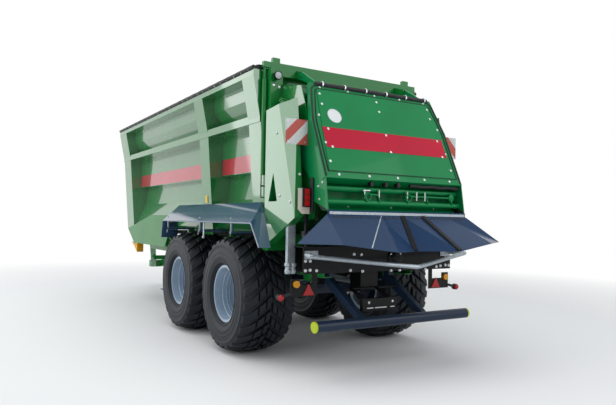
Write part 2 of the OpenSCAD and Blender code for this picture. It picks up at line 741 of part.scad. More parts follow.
// Gate: a ribbed plate in the portal's slots, hung from a header that the lift rods push up
gate_t = 6;
gate_back = 40;
gate_x = box_rear - gate_back;
gate_side_gap = 10;
gate_half_w = column_in + slot_depth - gate_side_gap;
gate_foot_gap = 15;
gate_bottom = sill_z + gate_foot_gap;
header_gap = 10;
header_h = 70;
header_w = 54;
header_z = portal_top + header_gap;
lift_stand = 34;
lift_back = 55;
lift_y = column_out + lift_stand;
lift_x = box_rear - lift_back;
lift_rod_d = 36;
lift_barrel_d = 60;
lift_stroke = 1050;
barrel_drop = 50;
barrel_spare = 120;
barrel_top = rim_z - barrel_drop;
barrel_bottom = barrel_top - lift_stroke - barrel_spare;
rod_tail = 40;
gate_rib_h = 60;
gate_rib_d = 24;
gate_rib_share = [0.1, 0.5, 0.9];
header_lug_y = 1037;
header_lug_h = 60;
header_lug_w = 97;

module gate() color(paint_green) {
    span([gate_x - gate_t, -gate_half_w, gate_bottom], [gate_x, gate_half_w, header_z + weld_lap]);
    for (k = gate_rib_share) {
        z = gate_bottom + k * (rim_z - gate_bottom);
        span([gate_x - weld_lap, -column_in + header_gap, z - gate_rib_h / 2],
            [gate_x + gate_rib_d, column_in - header_gap, z + gate_rib_h / 2]);
    }
    span([lift_x - header_w / 2, -lift_y - header_w / 2, header_z],
        [lift_x + header_w / 2, lift_y + header_w / 2, header_z + header_h]);
    both_sides() {
        translate([lift_x, lift_y, barrel_top - lift_stroke - rod_tail])
            cylinder(d = lift_rod_d, h = header_z - barrel_top + lift_stroke + rod_tail);
        span([lift_x - header_w / 2, header_lug_y - header_lug_w / 2, header_z + header_h - weld_lap],
            [lift_x + header_w / 2, header_lug_y + header_lug_w / 2, header_z + header_h + header_lug_h]);
    }
}

// Lift cylinder barrels on the outside of the columns
saddle_h = 100;
module gate_barrels() color(paint_green) both_sides() difference() {
    union() {
        translate([lift_x, lift_y, barrel_bottom])
            cylinder(d = lift_barrel_d, h = barrel_top - barrel_bottom);
        span([lift_x - lift_barrel_d / 2, column_out, barrel_bottom + saddle_h],
            [lift_x + lift_barrel_d / 2, lift_y, barrel_bottom + 2 * saddle_h]);
    }
    translate([lift_x, lift_y, barrel_bottom + rod_tail])
        cylinder(d = lift_rod_d + 2 * fit_gap, h = lift_stroke + barrel_top);
}

// Pressure pipes of the lift cylinders, clipped to the columns between a wall fitting and the barrel's head
pipe_d = 14;
pipe_bend = 12;
pipe_back = 10;
pipe_x = box_rear - pipe_back;
pipe_rise = 60;
pipe_low = guard_high + pipe_rise;
pipe_head = 40;
pipe_top = barrel_top - pipe_head;
pipe_pts = [[pipe_x, column_out, pipe_low], [pipe_x, lift_y, pipe_low], [pipe_x, lift_y, pipe_top],
    [lift_x + lift_barrel_d / 2 + fit_gap, lift_y, pipe_top]];
clip_side = 16;
clip_share = [0.1, 0.37, 0.64, 0.91];
module hydraulic_pipes() color(rubber_black) both_sides() {
    bent_tube(bent(pipe_pts, pipe_bend), [1, 1, 0], pipe_d);
    for (k = clip_share) {
        z = pipe_low + k * (pipe_top - pipe_low);
        span([pipe_x - clip_side / 2, column_out, z - clip_side / 2],
            [pipe_x + clip_side / 2, lift_y + clip_side / 2, z + clip_side / 2]);
    }
}

// Cheeks: the side plates of the spreading unit with the beater bearings, joined by a roof
hood_top_back = 681;
hood_top_drop = 169;
hood_low_h = 574;
hood_top_x = box_rear - hood_top_back;
hood_top_z = rim_z - hood_top_drop;
hood_low_x = hood_top_x - hood_slope_l;
hood_low_z = floor_z + hood_low_h;
hood_l = norm([hood_slope_l, hood_top_z - hood_low_z]);
hood_tilt = atan2(hood_slope_l, hood_top_z - hood_low_z);
function hood_point(depth, up) = [hood_low_x + depth * cos(hood_tilt) + up * sin(hood_tilt),
    hood_low_z - depth * sin(hood_tilt) + up * cos(hood_tilt)];
hood_d = 60;
cheek_gap = 20;
cheek_t = 12;
cheek_out = column_in + cheek_t;
beater_back = 420;
beater_low_h = 450;
beater_gap = 50;
beater_x = box_rear - beater_back;
beater_shaft_d = 70;
lower_z = floor_z + beater_low_h;
upper_z = lower_z + beater_d + beater_gap;
cheek_back = 940;
cheek_low_h = 140;
cheek_mid_h = 560;
cheek_low_x = box_rear - cheek_back;
cheek_low_z = floor_z + cheek_low_h;
cheek_mid_z = floor_z + cheek_mid_h;
toe_back = 180;
toe_rise = 60;
heel_back = 320;
heel_rise = 50;
roof_drop = 110;
roof_front_z = rim_z - roof_drop;
roof_rear = hood_point(hood_d + 2 * cheek_gap, hood_l);
roof_t = 6;
cyl_pin_back = 270;
cyl_pin_drop = 330;
cyl_pin_x = box_rear - cyl_pin_back;
cyl_pin_z = rim_z - cyl_pin_drop;
cyl_pin_d = 40;
cyl_y = 1050;
cyl_pin_reach = 36;
cyl_pin_end = cyl_y + cyl_pin_reach;
cheek_line = [[portal_rear, sill_z], [portal_rear - toe_back, sill_z + toe_rise],
    [portal_rear - heel_back, floor_z + heel_rise], [cheek_low_x, cheek_low_z], [cheek_low_x, cheek_mid_z],
    hood_point(hood_d + cheek_gap, hood_d), hood_point(hood_d + cheek_gap, hood_l),
    [portal_rear, roof_front_z]];

module cheeks() color(paint_green) {
    both_sides() difference() {
        union() {
            prism_y(cheek_line, column_in, cheek_out);
            bar_y(cyl_pin_x, cyl_pin_z, cyl_pin_d, cheek_out, cyl_pin_end);
        }
        for (z = [lower_z, upper_z])
            bar_y(beater_x, z, beater_shaft_d + 2 * fit_gap, column_in - overrun, cheek_out + overrun);
    }
    prism_y(sheet([[portal_rear, roof_front_z], roof_rear], roof_t), -column_in, column_in);
}

// Drive covers: closed housings over the chain drives on both sides of the spreading unit, with a slot
// beside the column; their outlines are shares of their length back from the portal and of their height
cover_in = 1090;
cover_out = 1206;
cover_slice = 4;
cover_l = 715;
cover_drop = 180;
cover_top_drop = 370;
cover_low = floor_z - cover_drop;
cover_h = rim_z - cover_top_drop - cover_low;
cover_face_shares = [[0.006, 0.952], [0.44, 0.97], [0.5, 0.786], [1, 0.188], [0.13, 0.006], [0.006, 0.12]];
cover_back_shares = [[0, 0.97], [0.762, 1], [1, 0.2], [0.147, 0], [0, 0.12]];
cover_slot_shares = [[0.29, 0.5], [0.43, 0.3], [0.14, 0.3]];
function on_cover(shares) = [for (k = shares) [portal_rear - k[0] * cover_l, cover_low + k[1] * cover_h]];

module drive_covers() color(paint_green) both_sides() difference() {
    hull() {
        prism_y(on_cover(cover_back_shares), cover_in, cover_in + cover_slice);
        prism_y(on_cover(cover_face_shares), cover_out - cover_slice, cover_out);
    }
    prism_y(on_cover(cover_slot_shares), cover_in - overrun, cover_out + overrun);
}

// Beaters: a core with screw flights of both hands, teeth along them and shafts in the cheeks
core_d = 240;
beater_end_gap = 20;
beater_half_l = column_in - beater_end_gap;
flight_gap = 70;
flight_r = beater_d / 2 - flight_gap;
flight_t = 14;
flight_turn = 400;
flight_steps = 20;
flight_root = 20;
flight_start_share = 0.04;
flight_end_share = 0.96;
tooth_t = 26;
tooth_w = 60;
tooth_count = 9;
tooth_root = 30;
shaft_end = cheek_out + run_gap;
function flight_share(i) = flight_start_share + i / flight_steps * (flight_end_share - flight_start_share);
flight_cols = [for (i = [0 : flight_steps])
    let (k = flight_share(i), way = [cos(k * flight_turn), sin(k * flight_turn)])
    [for (r = [core_d / 2 - flight_root, flight_r]) [r * way[0], r * way[1], k * beater_half_l]]];

module flight() shell(flight_cols, [for (c = flight_cols) [0, 0, -flight_t]]);
module tooth(k) rotate(k * flight_turn)
    translate([flight_r - tooth_root, -tooth_w / 2, k * beater_half_l - flight_t / 2 - tooth_t / 2])
    cube([beater_d / 2 - flight_r + tooth_root, tooth_w, tooth_t]);
module beater(z) color(galvanised) translate([beater_x, 0, z]) rotate([-90, 0, 0]) {
    translate([0, 0, -beater_half_l]) cylinder(d = core_d, h = 2 * beater_half_l);
    translate([0, 0, -shaft_end]) cylinder(d = beater_shaft_d, h = 2 * shaft_end);
    for (a = [0, 180], m = [0, 1]) mirror([0, 0, m]) rotate(a) {
        flight();
        for (i = [0 : tooth_count - 1]) tooth((i + 1 / 2) / tooth_count);
    }
}
module beater_lower() beater(lower_z);
module beater_upper() beater(upper_z);

// Spreading discs: a plate with standing blades on a hub whose shaft turns in the carrier's boss
disc_back = 850;
disc_drop = 125;
disc_x = box_rear - disc_back;
disc_z = floor_z - disc_drop;
disc_t = 10;
blade_h = 100;
blade_t = 10;
blade_in = 60;
hub_cap_h = 15;
blade_out_gap = 10;
hub_cone_d = 180;
disc_shaft_d = 60;
disc_stand = 55;
carrier_top = disc_z - disc_stand;
boss_h = 45;

module disc(s) color(galvanised) translate([disc_x, s * disc_spacing / 2, disc_z]) {
    cylinder(d = disc_d, h = disc_t);
    cylinder(d = hub_cone_d, h = disc_t + blade_h + hub_cap_h);
    translate([0, 0, carrier_top - disc_z]) cylinder(d = disc_shaft_d, h = disc_z - carrier_top + disc_t / 2);
    for (i = [0 : blade_count - 1]) rotate(i * 360 / blade_count)
        translate([blade_in, -blade_t / 2, disc_t / 2])
        cube([disc_d / 2 - blade_out_gap - blade_in, blade_t, blade_h + disc_t / 2]);
}
module disc_left() disc(1);
module disc_right() disc(-1);

// Disc carrier: a cross channel behind the rails with the disc bosses on top, lamp posts and lamp plates
carrier_l = 250;
carrier_rear = chassis_rear - carrier_l;
carrier_half_w = 1107;
carrier_h = 300;
carrier_bottom = carrier_top - carrier_h;
carrier_t = 12;
boss_d = 220;
post_side = 30;
lamp_post_gap = 4;
lamp_post_rise = 470;
lamp_post_y = cover_in - lamp_post_gap - post_side;
lamp_post_top = floor_z + lamp_post_rise;
lamp_arm_in = 850;
lamp_arm_out = 1190;
lamp_arm_low = 260;
lamp_arm_high = 130;
lamp_tab_w = 110;
lamp_tab_high = 60;
hanger_w = 60;
lamp_arm_inset = 130;
lamp_arm_x = carrier_rear + lamp_arm_inset;
lamp_arm_line = [[lamp_arm_in, carrier_top - carrier_t + weld_lap],
    [lamp_arm_in, carrier_bottom - lamp_arm_low],
    [lamp_arm_out, carrier_bottom - lamp_arm_low], [lamp_arm_out, carrier_bottom - lamp_tab_high],
    [lamp_arm_out - lamp_tab_w, carrier_bottom - lamp_tab_high],
    [lamp_arm_out - lamp_tab_w, carrier_bottom - lamp_arm_high],
    [lamp_arm_in + hanger_w, carrier_bottom - lamp_arm_high],
    [lamp_arm_in + hanger_w, carrier_top - carrier_t + weld_lap]];

module disc_carrier() color(paint_dark) difference() {
    union() {
        prism_y(sheet([[chassis_rear, carrier_bottom], [chassis_rear, carrier_top],
            [carrier_rear, carrier_top], [carrier_rear, carrier_bottom]], carrier_t),
            -carrier_half_w, carrier_half_w);
        for (s = [1, -1]) translate([disc_x, s * disc_spacing / 2, carrier_top - carrier_t])
            cylinder(d = boss_d, h = boss_h + carrier_t);
        both_sides() {
            span([carrier_rear, lamp_post_y, carrier_top - weld_lap],
                [carrier_rear + post_side, lamp_post_y + post_side, lamp_post_top]);
            prism_x(lamp_arm_line, lamp_arm_x - carrier_t, lamp_arm_x);
        }
    }
    for (s = [1, -1]) translate([disc_x, s * disc_spacing / 2, carrier_top - carrier_h])
        cylinder(d = disc_shaft_d + 2 * fit_gap, h = 2 * carrier_h);
}

// Gearbox under the first cross tube, driven by the shaft from the front
gearbox_half_w = 130;
gearbox_gap = 10;
gearbox_l = 220;
gearbox_drop = 80;
gearbox_rear = chassis_rear + gearbox_gap;
gearbox_front = gearbox_rear + gearbox_l;
gearbox_bottom = shaft_z - gearbox_drop;
gearbox_top = rail_mid_z - cross_side / 2;
module drive_gearbox() color(paint_dark)
    span([gearbox_rear, -gearbox_half_w, gearbox_bottom], [gearbox_front, gearbox_half_w, gearbox_top]);

// Drive shaft with the power take-off stub at its front end
shaft_reach = 450;
shaft_front = chassis_front + shaft_reach;
module drive_shaft() color(galvanised) {
    bar_x(gearbox_front + fit_gap, shaft_front, 0, shaft_z, shaft_d);
    bar_x(shaft_front, shaft_front + stub_l, 0, shaft_z, stub_d);
}

// Hood: a tilted frame hung from the pivots, with side flaps, a folded lower plate and cross tubes
hood_frame_w = 75;
hood_skin_t = 6;
shoulder_share = 0.6;
flap_in = cheek_out + run_gap;
flap_t = 12;
flap_out = flap_in + flap_t;
rod_pin_back = 650;
rod_pin_h = 840;
rod_pin_x = box_rear - rod_pin_back;
rod_pin_z = floor_z + rod_pin_h;
rod_pin_d = 36;
lip_back = 53;
lip_rise = 176;
lip_x = hood_low_x - lip_back;
lip_z = floor_z + lip_rise;
lip_strip_h = 50;
fold_in = 213;
fold_drop = 84;
fold_wall_h = 170;
fold_foot_in = 73;
fold_x = hood_low_x + fold_in;
fold_top = hood_low_z - fold_drop;
fold_low = fold_top - fold_wall_h;
tube_d = 60;
tube_in_share = [0.22, 0.47];
tube_drop_share = [1.02, 0.43];
hood_fold = [hood_point(0, 0), [fold_x, fold_top], [fold_x, fold_low],
    [hood_low_x + fold_foot_in, lip_z + lip_strip_h], [lip_x, lip_z + lip_strip_h], [lip_x, lip_z]];
knee_in = 30;
knee_rise = 380;
ear_r = 60;
flap_line = [hood_point(0, 0), hood_point(0, shoulder_share * hood_l),
    [rod_pin_x + knee_in, rod_pin_z + knee_rise], [rod_pin_x + ear_r, rod_pin_z],
    [rod_pin_x, rod_pin_z - ear_r],
    [fold_x + 2 * hood_skin_t, fold_top],
    [fold_x + 2 * hood_skin_t, fold_low], [lip_x, lip_z + lip_strip_h]];
hood_outline = [[-hood_half_w, 0], [hood_half_w, 0], [hood_half_w, shoulder_share * hood_l],
    [hood_top_half_w, hood_l], [-hood_top_half_w, hood_l], [-hood_half_w, shoulder_share * hood_l]];
hood_opening = [[hood_frame_w - hood_half_w, hood_frame_w], [hood_half_w - hood_frame_w, hood_frame_w],
    [hood_top_half_w - hood_frame_w, hood_l - hood_frame_w],
    [hood_frame_w - hood_top_half_w, hood_l - hood_frame_w]];

module on_hood() translate([hood_low_x, 0, hood_low_z]) rotate([0, hood_tilt, 0]) children();
module hood_shell() color(paint_green) {
    on_hood() difference() {
        prism_x(hood_outline, 0, hood_d);
        prism_x(hood_opening, hood_skin_t, hood_d + overrun);
    }
    both_sides() {
        difference() {
            union() {
                prism_y([hood_point(hood_d, hood_l), hood_point(hood_skin_t, hood_l - hood_d),
                    hood_point(0, hood_l), [pivot_x - pivot_d, pivot_z + pivot_boss_d / 2],
                    [pivot_x, pivot_z - pivot_d]], pivot_y, pivot_y + lug_t);
                bar_y(pivot_x, pivot_z, pivot_boss_d, pivot_y, pivot_y + lug_t);
            }
            bar_y(pivot_x, pivot_z, pivot_d + 2 * fit_gap, pivot_y - overrun, pivot_y + lug_t + overrun);
        }
        prism_y(flap_line, flap_in, flap_out);
    }
    prism_y(sheet(hood_fold, hood_skin_t), -flap_in, flap_in);
    for (i = [0, 1])
        bar_y(hood_low_x + tube_in_share[i] * fold_in,
            hood_low_z - tube_drop_share[i] * (hood_low_z - fold_low), tube_d, -flap_in, flap_in);
}

// Screwed-on cover panel of the hood
panel_t = 6;
module hood_panel() color(paint_green) on_hood() prism_x(hood_opening, -panel_t, 0);

// Plain band across the cover panel
hood_band_half_w = 905;
hood_band_low = 376;
hood_band_h = 260;
module hood_band() color(paint_red) on_hood()
    span([-panel_t - decal_t, -hood_band_half_w, hood_band_low],
        [-panel_t, hood_band_half_w, hood_band_low + hood_band_h]);

// Blank speed sign on the cover panel
sign_d = 190;
sign_y = 695;
sign_up = 800;
module speed_sign() color(sign_white) on_hood()
    translate([-panel_t - decal_t, sign_y, sign_up]) rotate([0, 90, 0]) cylinder(d = sign_d, h = decal_t);

// Apron: a folded steel skirt that spreads round both discs, bolted to the hood's lower lip
apron_t = 8;
apron_x = lip_x - apron_t;
apron_reach = 476;
apron_half_w = 1030;
apron_low_half_w = 1470;
apron_drop = 215;
apron_top_share = [0, 0.29, 0.68, 1];
apron_low_share = [0, 0.306, 0.728, 1];
apron_reach_share = [0.492, 1, 0.79, 0.307];
apron_drop_share = [1, 0.972, 0.605, 0.581];
apron_half = [for (i = [0 : len(apron_top_share) - 1]) [[apron_x, apron_top_share[i] * apron_half_w, lip_z],
    [apron_x - apron_reach_share[i] * apron_reach, apron_low_share[i] * apron_low_half_w,
        floor_z - apron_drop_share[i] * apron_drop]]];
apron_cols = concat(reversed(apron_half), [for (i = [1 : 3]) [for (q = apron_half[i]) [q[0], -q[1], q[2]]]]);
x_rear = apron_x - apron_reach;

module apron() color(paint_dark) {
    shell(apron_cols, [for (c = apron_cols) [apron_t, 0, 0]]);
    span([apron_x, -flap_out, lip_z - weld_lap], [lip_x, flap_out, lip_z + lip_strip_h]);
}

// Striped warning boards beside the hood, on arms from its flaps
board_side = 282;
board_t = 4;
board_back = 800;
board_h = 950;
board_x = box_rear - board_back;
board_z = floor_z + board_h;
module warning_boards() color(sign_white) both_sides()
    span([board_x - board_t, flap_out, board_z], [board_x, flap_out + board_side, board_z + board_side]);

// Hood cylinders: barrels on pins at the cheeks and rods on pins at the hood's flaps
hood_barrel_d = 64;
hood_rod_d = 36;
cyl_eye_d = 72;
cyl_eye_w = 40;
cyl_l = norm([rod_pin_x - cyl_pin_x, rod_pin_z - cyl_pin_z]);
cyl_angle = atan2(cyl_pin_x - rod_pin_x, cyl_pin_z - rod_pin_z);
barrel_share = 0.78;

module on_cylinder() translate([cyl_pin_x, cyl_y, cyl_pin_z]) rotate([0, 180 + cyl_angle, 0]) children();
module cross_bore(d) rotate([90, 0, 0]) cylinder(d = d, h = 2 * cyl_eye_w, center = true);
module cross_eye(d) rotate([90, 0, 0]) cylinder(d = d, h = cyl_eye_w, center = true);
module hood_barrels() color(rubber_black) both_sides() on_cylinder() difference() {
    union() {
        cross_eye(cyl_eye_d);
        cylinder(d = hood_barrel_d, h = barrel_share * cyl_l);
    }
    cross_bore(cyl_pin_d + 2 * fit_gap);
    translate([0, 0, cyl_eye_d]) cylinder(d = hood_rod_d + 2 * fit_gap, h = cyl_l);
}
module hood_rods() color(galvanised) both_sides() on_cylinder() {
    translate([0, 0, cyl_l]) cross_eye(cyl_eye_d);
    translate([0, 0, cyl_l]) rotate([90, 0, 0]) translate([0, 0, cyl_y - cyl_pin_end])
        cylinder(d = rod_pin_d, h = cyl_pin_end - flap_out - run_gap);
    translate([0, 0, cyl_eye_d + fit_gap]) cylinder(d = hood_rod_d, h = cyl_l - cyl_eye_d - fit_gap);
}

// Guard tube bent round behind the discs
guard_tube_d = 50;
guard_bend = 45;
guard_foot_y = 1075;
guard_wide_y = 1175;
guard_drop = 90;
guard_sag = 115;
guard_straight = 110;
guard_turn = 200;
guard_reach = 600;
guard_z = carrier_top - guard_drop;
guard_half = [[carrier_rear, guard_foot_y, guard_z], [carrier_rear - guard_straight, guard_foot_y, guard_z],
    [carrier_rear - guard_turn, guard_wide_y, guard_z], [carrier_rear - guard_reach, 0, guard_z - guard_sag]];
guard_pts = concat(guard_half,
    [for (i = [2 : -1 : 0]) [guard_half[i][0], -guard_half[i][1], guard_half[i][2]]]);
module guard_tube() color(galvanised) bent_tube(bent(guard_pts, guard_bend), [0, 0, 1], guard_tube_d);

// Underrun bar on two struts from the first cross tube, with end caps
underrun_back = 260;
underrun_x = carrier_rear - underrun_back;
underrun_z = 568;
strut_y = 460;
strut_w = 70;
strut_front = chassis_rear + cross_places_share[0] * chassis_l;
strut_tip = 30;
strut_front_h = 190;
strut_rear_h = 120;
cap_t = 20;
module underrun_bar() color(paint_dark) {
    bar_y(underrun_x, underrun_z, underrun_d, -underrun_half_l, underrun_half_l);
    both_sides() prism_y([[strut_front - cross_side / 2, gearbox_top],
        [strut_front + cross_side / 2, gearbox_top],
        [strut_front + cross_side / 2, gearbox_top - strut_front_h],
        [underrun_x + strut_tip, underrun_z - strut_tip],
        [underrun_x, underrun_z + strut_tip], [strut_front - cross_side / 2, gearbox_top - strut_rear_h]],
        strut_y - strut_w / 2, strut_y + strut_w / 2);
}
module underrun_caps() color(cap_lime) both_sides()
    bar_y(underrun_x, underrun_z, underrun_d, underrun_half_l, underrun_half_l + cap_t);

// Blank plates and rear lamps on the lamp posts
lamp_t = 30;
lamp_w = 70;
lamp_h = 190;
lamp_rise = 265;
plate_t = 3;
plate_in = 1040;
plate_w = 150;
plate_rise = 180;
plate_h = 280;
plate_bevel = 50;
module lamp_plates() color(sign_white) both_sides() translate([0, plate_in, floor_z + plate_rise])
    prism_x([[0, 0], [plate_w - plate_bevel, 0], [plate_w, plate_bevel], [plate_w, plate_h], [0, plate_h]],
        carrier_rear - plate_t, carrier_rear);
module rear_lamps() color(lamp_red) both_sides()
    span([carrier_rear - plate_t - lamp_t, lamp_post_y, floor_z + lamp_rise],
        [carrier_rear - plate_t, lamp_post_y + lamp_w, floor_z + lamp_rise + lamp_h]);

// Three-sided reflectors and round side lamps on the lamp arms
reflector_r = 85;
reflector_t = 10;
reflector_y = 965;
reflector_drop = 205;
side_lamp_d = 76;
side_lamp_y = 1128;
side_lamp_drop = 118;
lamp_face_x = lamp_arm_x - carrier_t;
module reflectors() color(lamp_red) both_sides()
    translate([lamp_face_x - reflector_t, reflector_y, carrier_bottom - reflector_drop]) rotate([0, 90, 0])
    linear_extrude(reflector_t) polygon([for (a = [180, 300, 60]) reflector_r * [cos(a), sin(a)]]);
module side_lamps() color(lamp_amber) both_sides()
    bar_x(lamp_face_x - lamp_t, lamp_face_x, side_lamp_y, carrier_bottom - side_lamp_drop, side_lamp_d);

part_frame() chassis();
part_frame() drawbar();
part_frame() towing_eye();
part_frame() jack_leg();
part_frame() axles();
part_frame() leaf_springs();
part_frame() tyre_front_left();
part_frame() tyre_front_right();
part_frame() tyre_rear_left();
part_frame() tyre_rear_right();
part_frame() rim_front_left();
part_frame() rim_front_right();
part_frame() rim_rear_left();
part_frame() rim_rear_right();
part_frame() floor_frame();
part_frame() floor_plate();
part_frame() scraper_chain();
part_frame() side_walls();
part_frame() wall_frames();
part_frame() top_lips();
part_frame() front_wall();
part_frame() side_bands();
part_frame() side_skirts();
part_frame() mudguards();
part_frame() wheel_chocks();
part_frame() portal();
part_frame() gate();
part_frame() gate_barrels();
part_frame() hydraulic_pipes();
part_frame() cheeks();
part_frame() drive_covers();
part_frame() beater_lower();
part_frame() beater_upper();
part_frame() disc_left();
part_frame() disc_right();
part_frame() disc_carrier();
part_frame() drive_gearbox();
part_frame() drive_shaft();
part_frame() hood_shell();
part_frame() hood_panel();
part_frame() hood_band();
part_frame() apron();
part_frame() speed_sign();
part_frame() warning_boards();
part_frame() hood_barrels();
part_frame() hood_rods();
part_frame() guard_tube();
part_frame() underrun_bar();
part_frame() underrun_caps();
part_frame() lamp_plates();
part_frame() rear_lamps();
part_frame() reflectors();
part_frame() side_lamps();
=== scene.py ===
import json
from math import cos, pi, radians, sin, tau

import bmesh
import bpy
from mathutils import Matrix, Vector
from mathutils.bvhtree import BVHTree


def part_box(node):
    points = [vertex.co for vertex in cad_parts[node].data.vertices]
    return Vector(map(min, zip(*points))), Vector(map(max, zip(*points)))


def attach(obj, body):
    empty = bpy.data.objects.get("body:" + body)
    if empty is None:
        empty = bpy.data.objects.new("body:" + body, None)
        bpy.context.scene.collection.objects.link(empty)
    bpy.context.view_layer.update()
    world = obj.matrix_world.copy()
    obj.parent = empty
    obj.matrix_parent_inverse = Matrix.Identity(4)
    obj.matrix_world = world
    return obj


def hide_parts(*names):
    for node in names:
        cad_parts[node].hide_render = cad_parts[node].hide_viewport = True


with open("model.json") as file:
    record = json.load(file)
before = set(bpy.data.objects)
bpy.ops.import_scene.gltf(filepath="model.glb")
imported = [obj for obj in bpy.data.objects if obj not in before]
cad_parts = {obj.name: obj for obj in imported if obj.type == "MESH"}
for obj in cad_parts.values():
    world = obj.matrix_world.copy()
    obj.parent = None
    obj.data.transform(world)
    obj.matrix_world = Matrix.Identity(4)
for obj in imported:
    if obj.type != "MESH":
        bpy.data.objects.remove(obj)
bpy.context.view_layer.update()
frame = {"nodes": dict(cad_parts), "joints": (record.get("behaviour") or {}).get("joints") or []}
nodes = frame["nodes"]


# Studio: the spreader stands parked on a plain pale floor, seen from behind and from its left side at eye
# level. Soft boxes stand at the left, behind and overhead, and the world fills the shadows.
def spot(joint):
    """Where a joint's axis passes, in the machine's frame."""
    return Vector(next(j["pos_m"] for j in frame["joints"] if j["name"] == joint))


rear_axle = spot("wheel_rear_left_spin")


def at(x, y, z):
    """A place measured from the ground under the rear axle: forward, to the left and up."""
    return Vector((rear_axle.x + x, y, z))


photo_w = 616
sensor_w = 36.0
focal_px = 578.52
camera_yaw, camera_pitch, camera_roll = radians(-31.6118), radians(1.70226), radians(0.95317)
camera_stand = at(-6.8463, 4.38769, 1.69709)
view_reach = 200

ahead = Vector((cos(camera_yaw) * cos(camera_pitch), sin(camera_yaw) * cos(camera_pitch), sin(camera_pitch)))
level_right = Vector((sin(camera_yaw), -cos(camera_yaw), 0))
level_up = level_right.cross(ahead)
right = cos(camera_roll) * level_right + sin(camera_roll) * level_up
up = cos(camera_roll) * level_up - sin(camera_roll) * level_right

camera = bpy.data.objects.new("camera", bpy.data.cameras.new("camera"))
camera.data.sensor_width = sensor_w
camera.data.lens = focal_px / photo_w * sensor_w
camera.data.clip_end = view_reach
camera.matrix_world = Matrix((
    (right.x, up.x, -ahead.x, camera_stand.x),
    (right.y, up.y, -ahead.y, camera_stand.y),
    (right.z, up.z, -ahead.z, camera_stand.z),
    (0, 0, 0, 1),
))
bpy.context.scene.collection.objects.link(camera)
bpy.context.scene.camera = camera
bpy.context.scene.view_settings.view_transform = "Standard"


class Wire:
    """One socket of a finish, so that masks and heights are written as plain sums."""

    def __init__(self, tree, socket=None):
        self.tree = tree
        self.socket = socket

    def node(self, kind, settings=None, sockets=None, out=0):
        """Adds a node of that kind: its settings first, then the values or wires of its sockets."""
        made = self.tree.nodes.new("ShaderNode" + kind)
        for name, value in (settings or {}).items():
            setattr(made, name, value)
        for name, value in (sockets or {}).items():
            if isinstance(value, Wire):
                self.tree.links.new(value.socket, made.inputs[name])
            else:
                made.inputs[name].default_value = value
        return Wire(self.tree, made.outputs[out])

    def maths(self, operation, first, second):
        return self.node("Math", {"operation": operation}, {0: first, 1: second})

    def __add__(self, other):
        return self.maths("ADD", self, other)

    __radd__ = __add__

    def __sub__(self, other):
        return self.maths("SUBTRACT", self, other)

    def __rsub__(self, other):
        return self.maths("SUBTRACT", other, self)

    def __mul__(self, other):
        return self.maths("MULTIPLY", self, other)

    __rmul__ = __mul__

    def __gt__(self, other):
        return self.maths("GREATER_THAN", self, other)


def finish(name):
    """A new finish: its material, its shader's sockets, a wire to start from and the place on the piece."""
    made = bpy.data.materials.new(name)
    made.use_nodes = True
    wire = Wire(made.node_tree)
    return made, made.node_tree.nodes["Principled BSDF"].inputs, wire, wire.node("TexCoord", out="Object")


def feed(inputs, **values):
    """Links wires to a shader's sockets, or sets plain values on them."""
    for name, value in values.items():
        socket = inputs[name.replace("_", " ")]
        if isinstance(value, Wire):
            value.tree.links.new(value.socket, socket)
        else:
            socket.default_value = value


def slope(wire, low, high):
    """0 where the wire is at low, 1 at high, and a straight slope between them."""
    return wire.node("MapRange", {"clamp": True}, {"Value": wire, "From Min": low, "From Max": high})


def seen(wire):
    """1 for what the camera, gloss and glass show, and 0 for the light that falls on the machine."""
    rays = [wire.node("LightPath", out=f"Is {kind} Ray") for kind in ("Camera", "Glossy", "Transmission")]
    return slope(rays[0] + rays[1] + rays[2], 0, 1)


floor_half = 80
floor_fade_in, floor_fade_out = 6.5, 13.0
floor = bpy.data.objects.new("floor", bpy.data.meshes.new("floor"))
floor_corners = [(-1, -1), (1, -1), (1, 1), (-1, 1)]
floor.data.from_pydata([(floor_half * a, floor_half * b, 0) for a, b in floor_corners], [], [(0, 1, 2, 3)])
bpy.context.scene.collection.objects.link(floor)
pale, pale_in, wire, place = finish("pale_floor")
feed(pale_in, Base_Color=(0.8, 0.8, 0.8, 1), Roughness=0.95)
away = place.node("VectorMath", {"operation": "LENGTH"}, {0: place}, out="Value")
glow = wire.node("Emission", None, {"Color": (1, 1, 1, 1), "Strength": 1.0})
matte = Wire(pale.node_tree, pale.node_tree.nodes["Principled BSDF"].outputs[0])
faded = slope(away, floor_fade_in, floor_fade_out) * seen(wire)
whole = wire.node("MixShader", None, {0: faded, 1: matte, 2: glow})
pale.node_tree.links.new(whole.socket, pale.node_tree.nodes["Material Output"].inputs["Surface"])
floor.data.materials.append(pale)

world = bpy.data.worlds.new("studio")
world.use_nodes = True
bpy.context.scene.world = world
sky = Wire(world.node_tree)
fill = sky.node("Background", None, {"Color": (0.9, 0.95, 1.0, 1), "Strength": 0.5})
white_view = sky.node("Background", None, {"Color": (1, 1, 1, 1), "Strength": 1.0})
shown = sky.node("MixShader", None, {0: seen(sky), 1: fill, 2: white_view})
world.node_tree.links.new(shown.socket, world.node_tree.nodes["World Output"].inputs["Surface"])

soft_boxes = {
    "left_box": ((6.0, 15.0, 7.0), (-1.0, 1.0, 1.8), 24.0, 12.0, 1500),
    "rear_box": ((-16.0, -5.0, 9.0), (-4.0, 0.0, 1.8), 14.0, 9.0, 760),
    "top_box": ((-1.0, 2.0, 13.0), (0.0, 0.0, 1.5), 16.0, 12.0, 1000),
}
for name, (stand, aim, wide, high, watts) in soft_boxes.items():
    lamp = bpy.data.lights.new(name, "AREA")
    lamp.shape = "RECTANGLE"
    lamp.size, lamp.size_y, lamp.energy = wide, high, watts
    box = bpy.data.objects.new(name, lamp)
    box.location = stand
    box.rotation_euler = (Vector(aim) - Vector(stand)).to_track_quat("-Z", "Y").to_euler()
    bpy.context.scene.collection.objects.link(box)


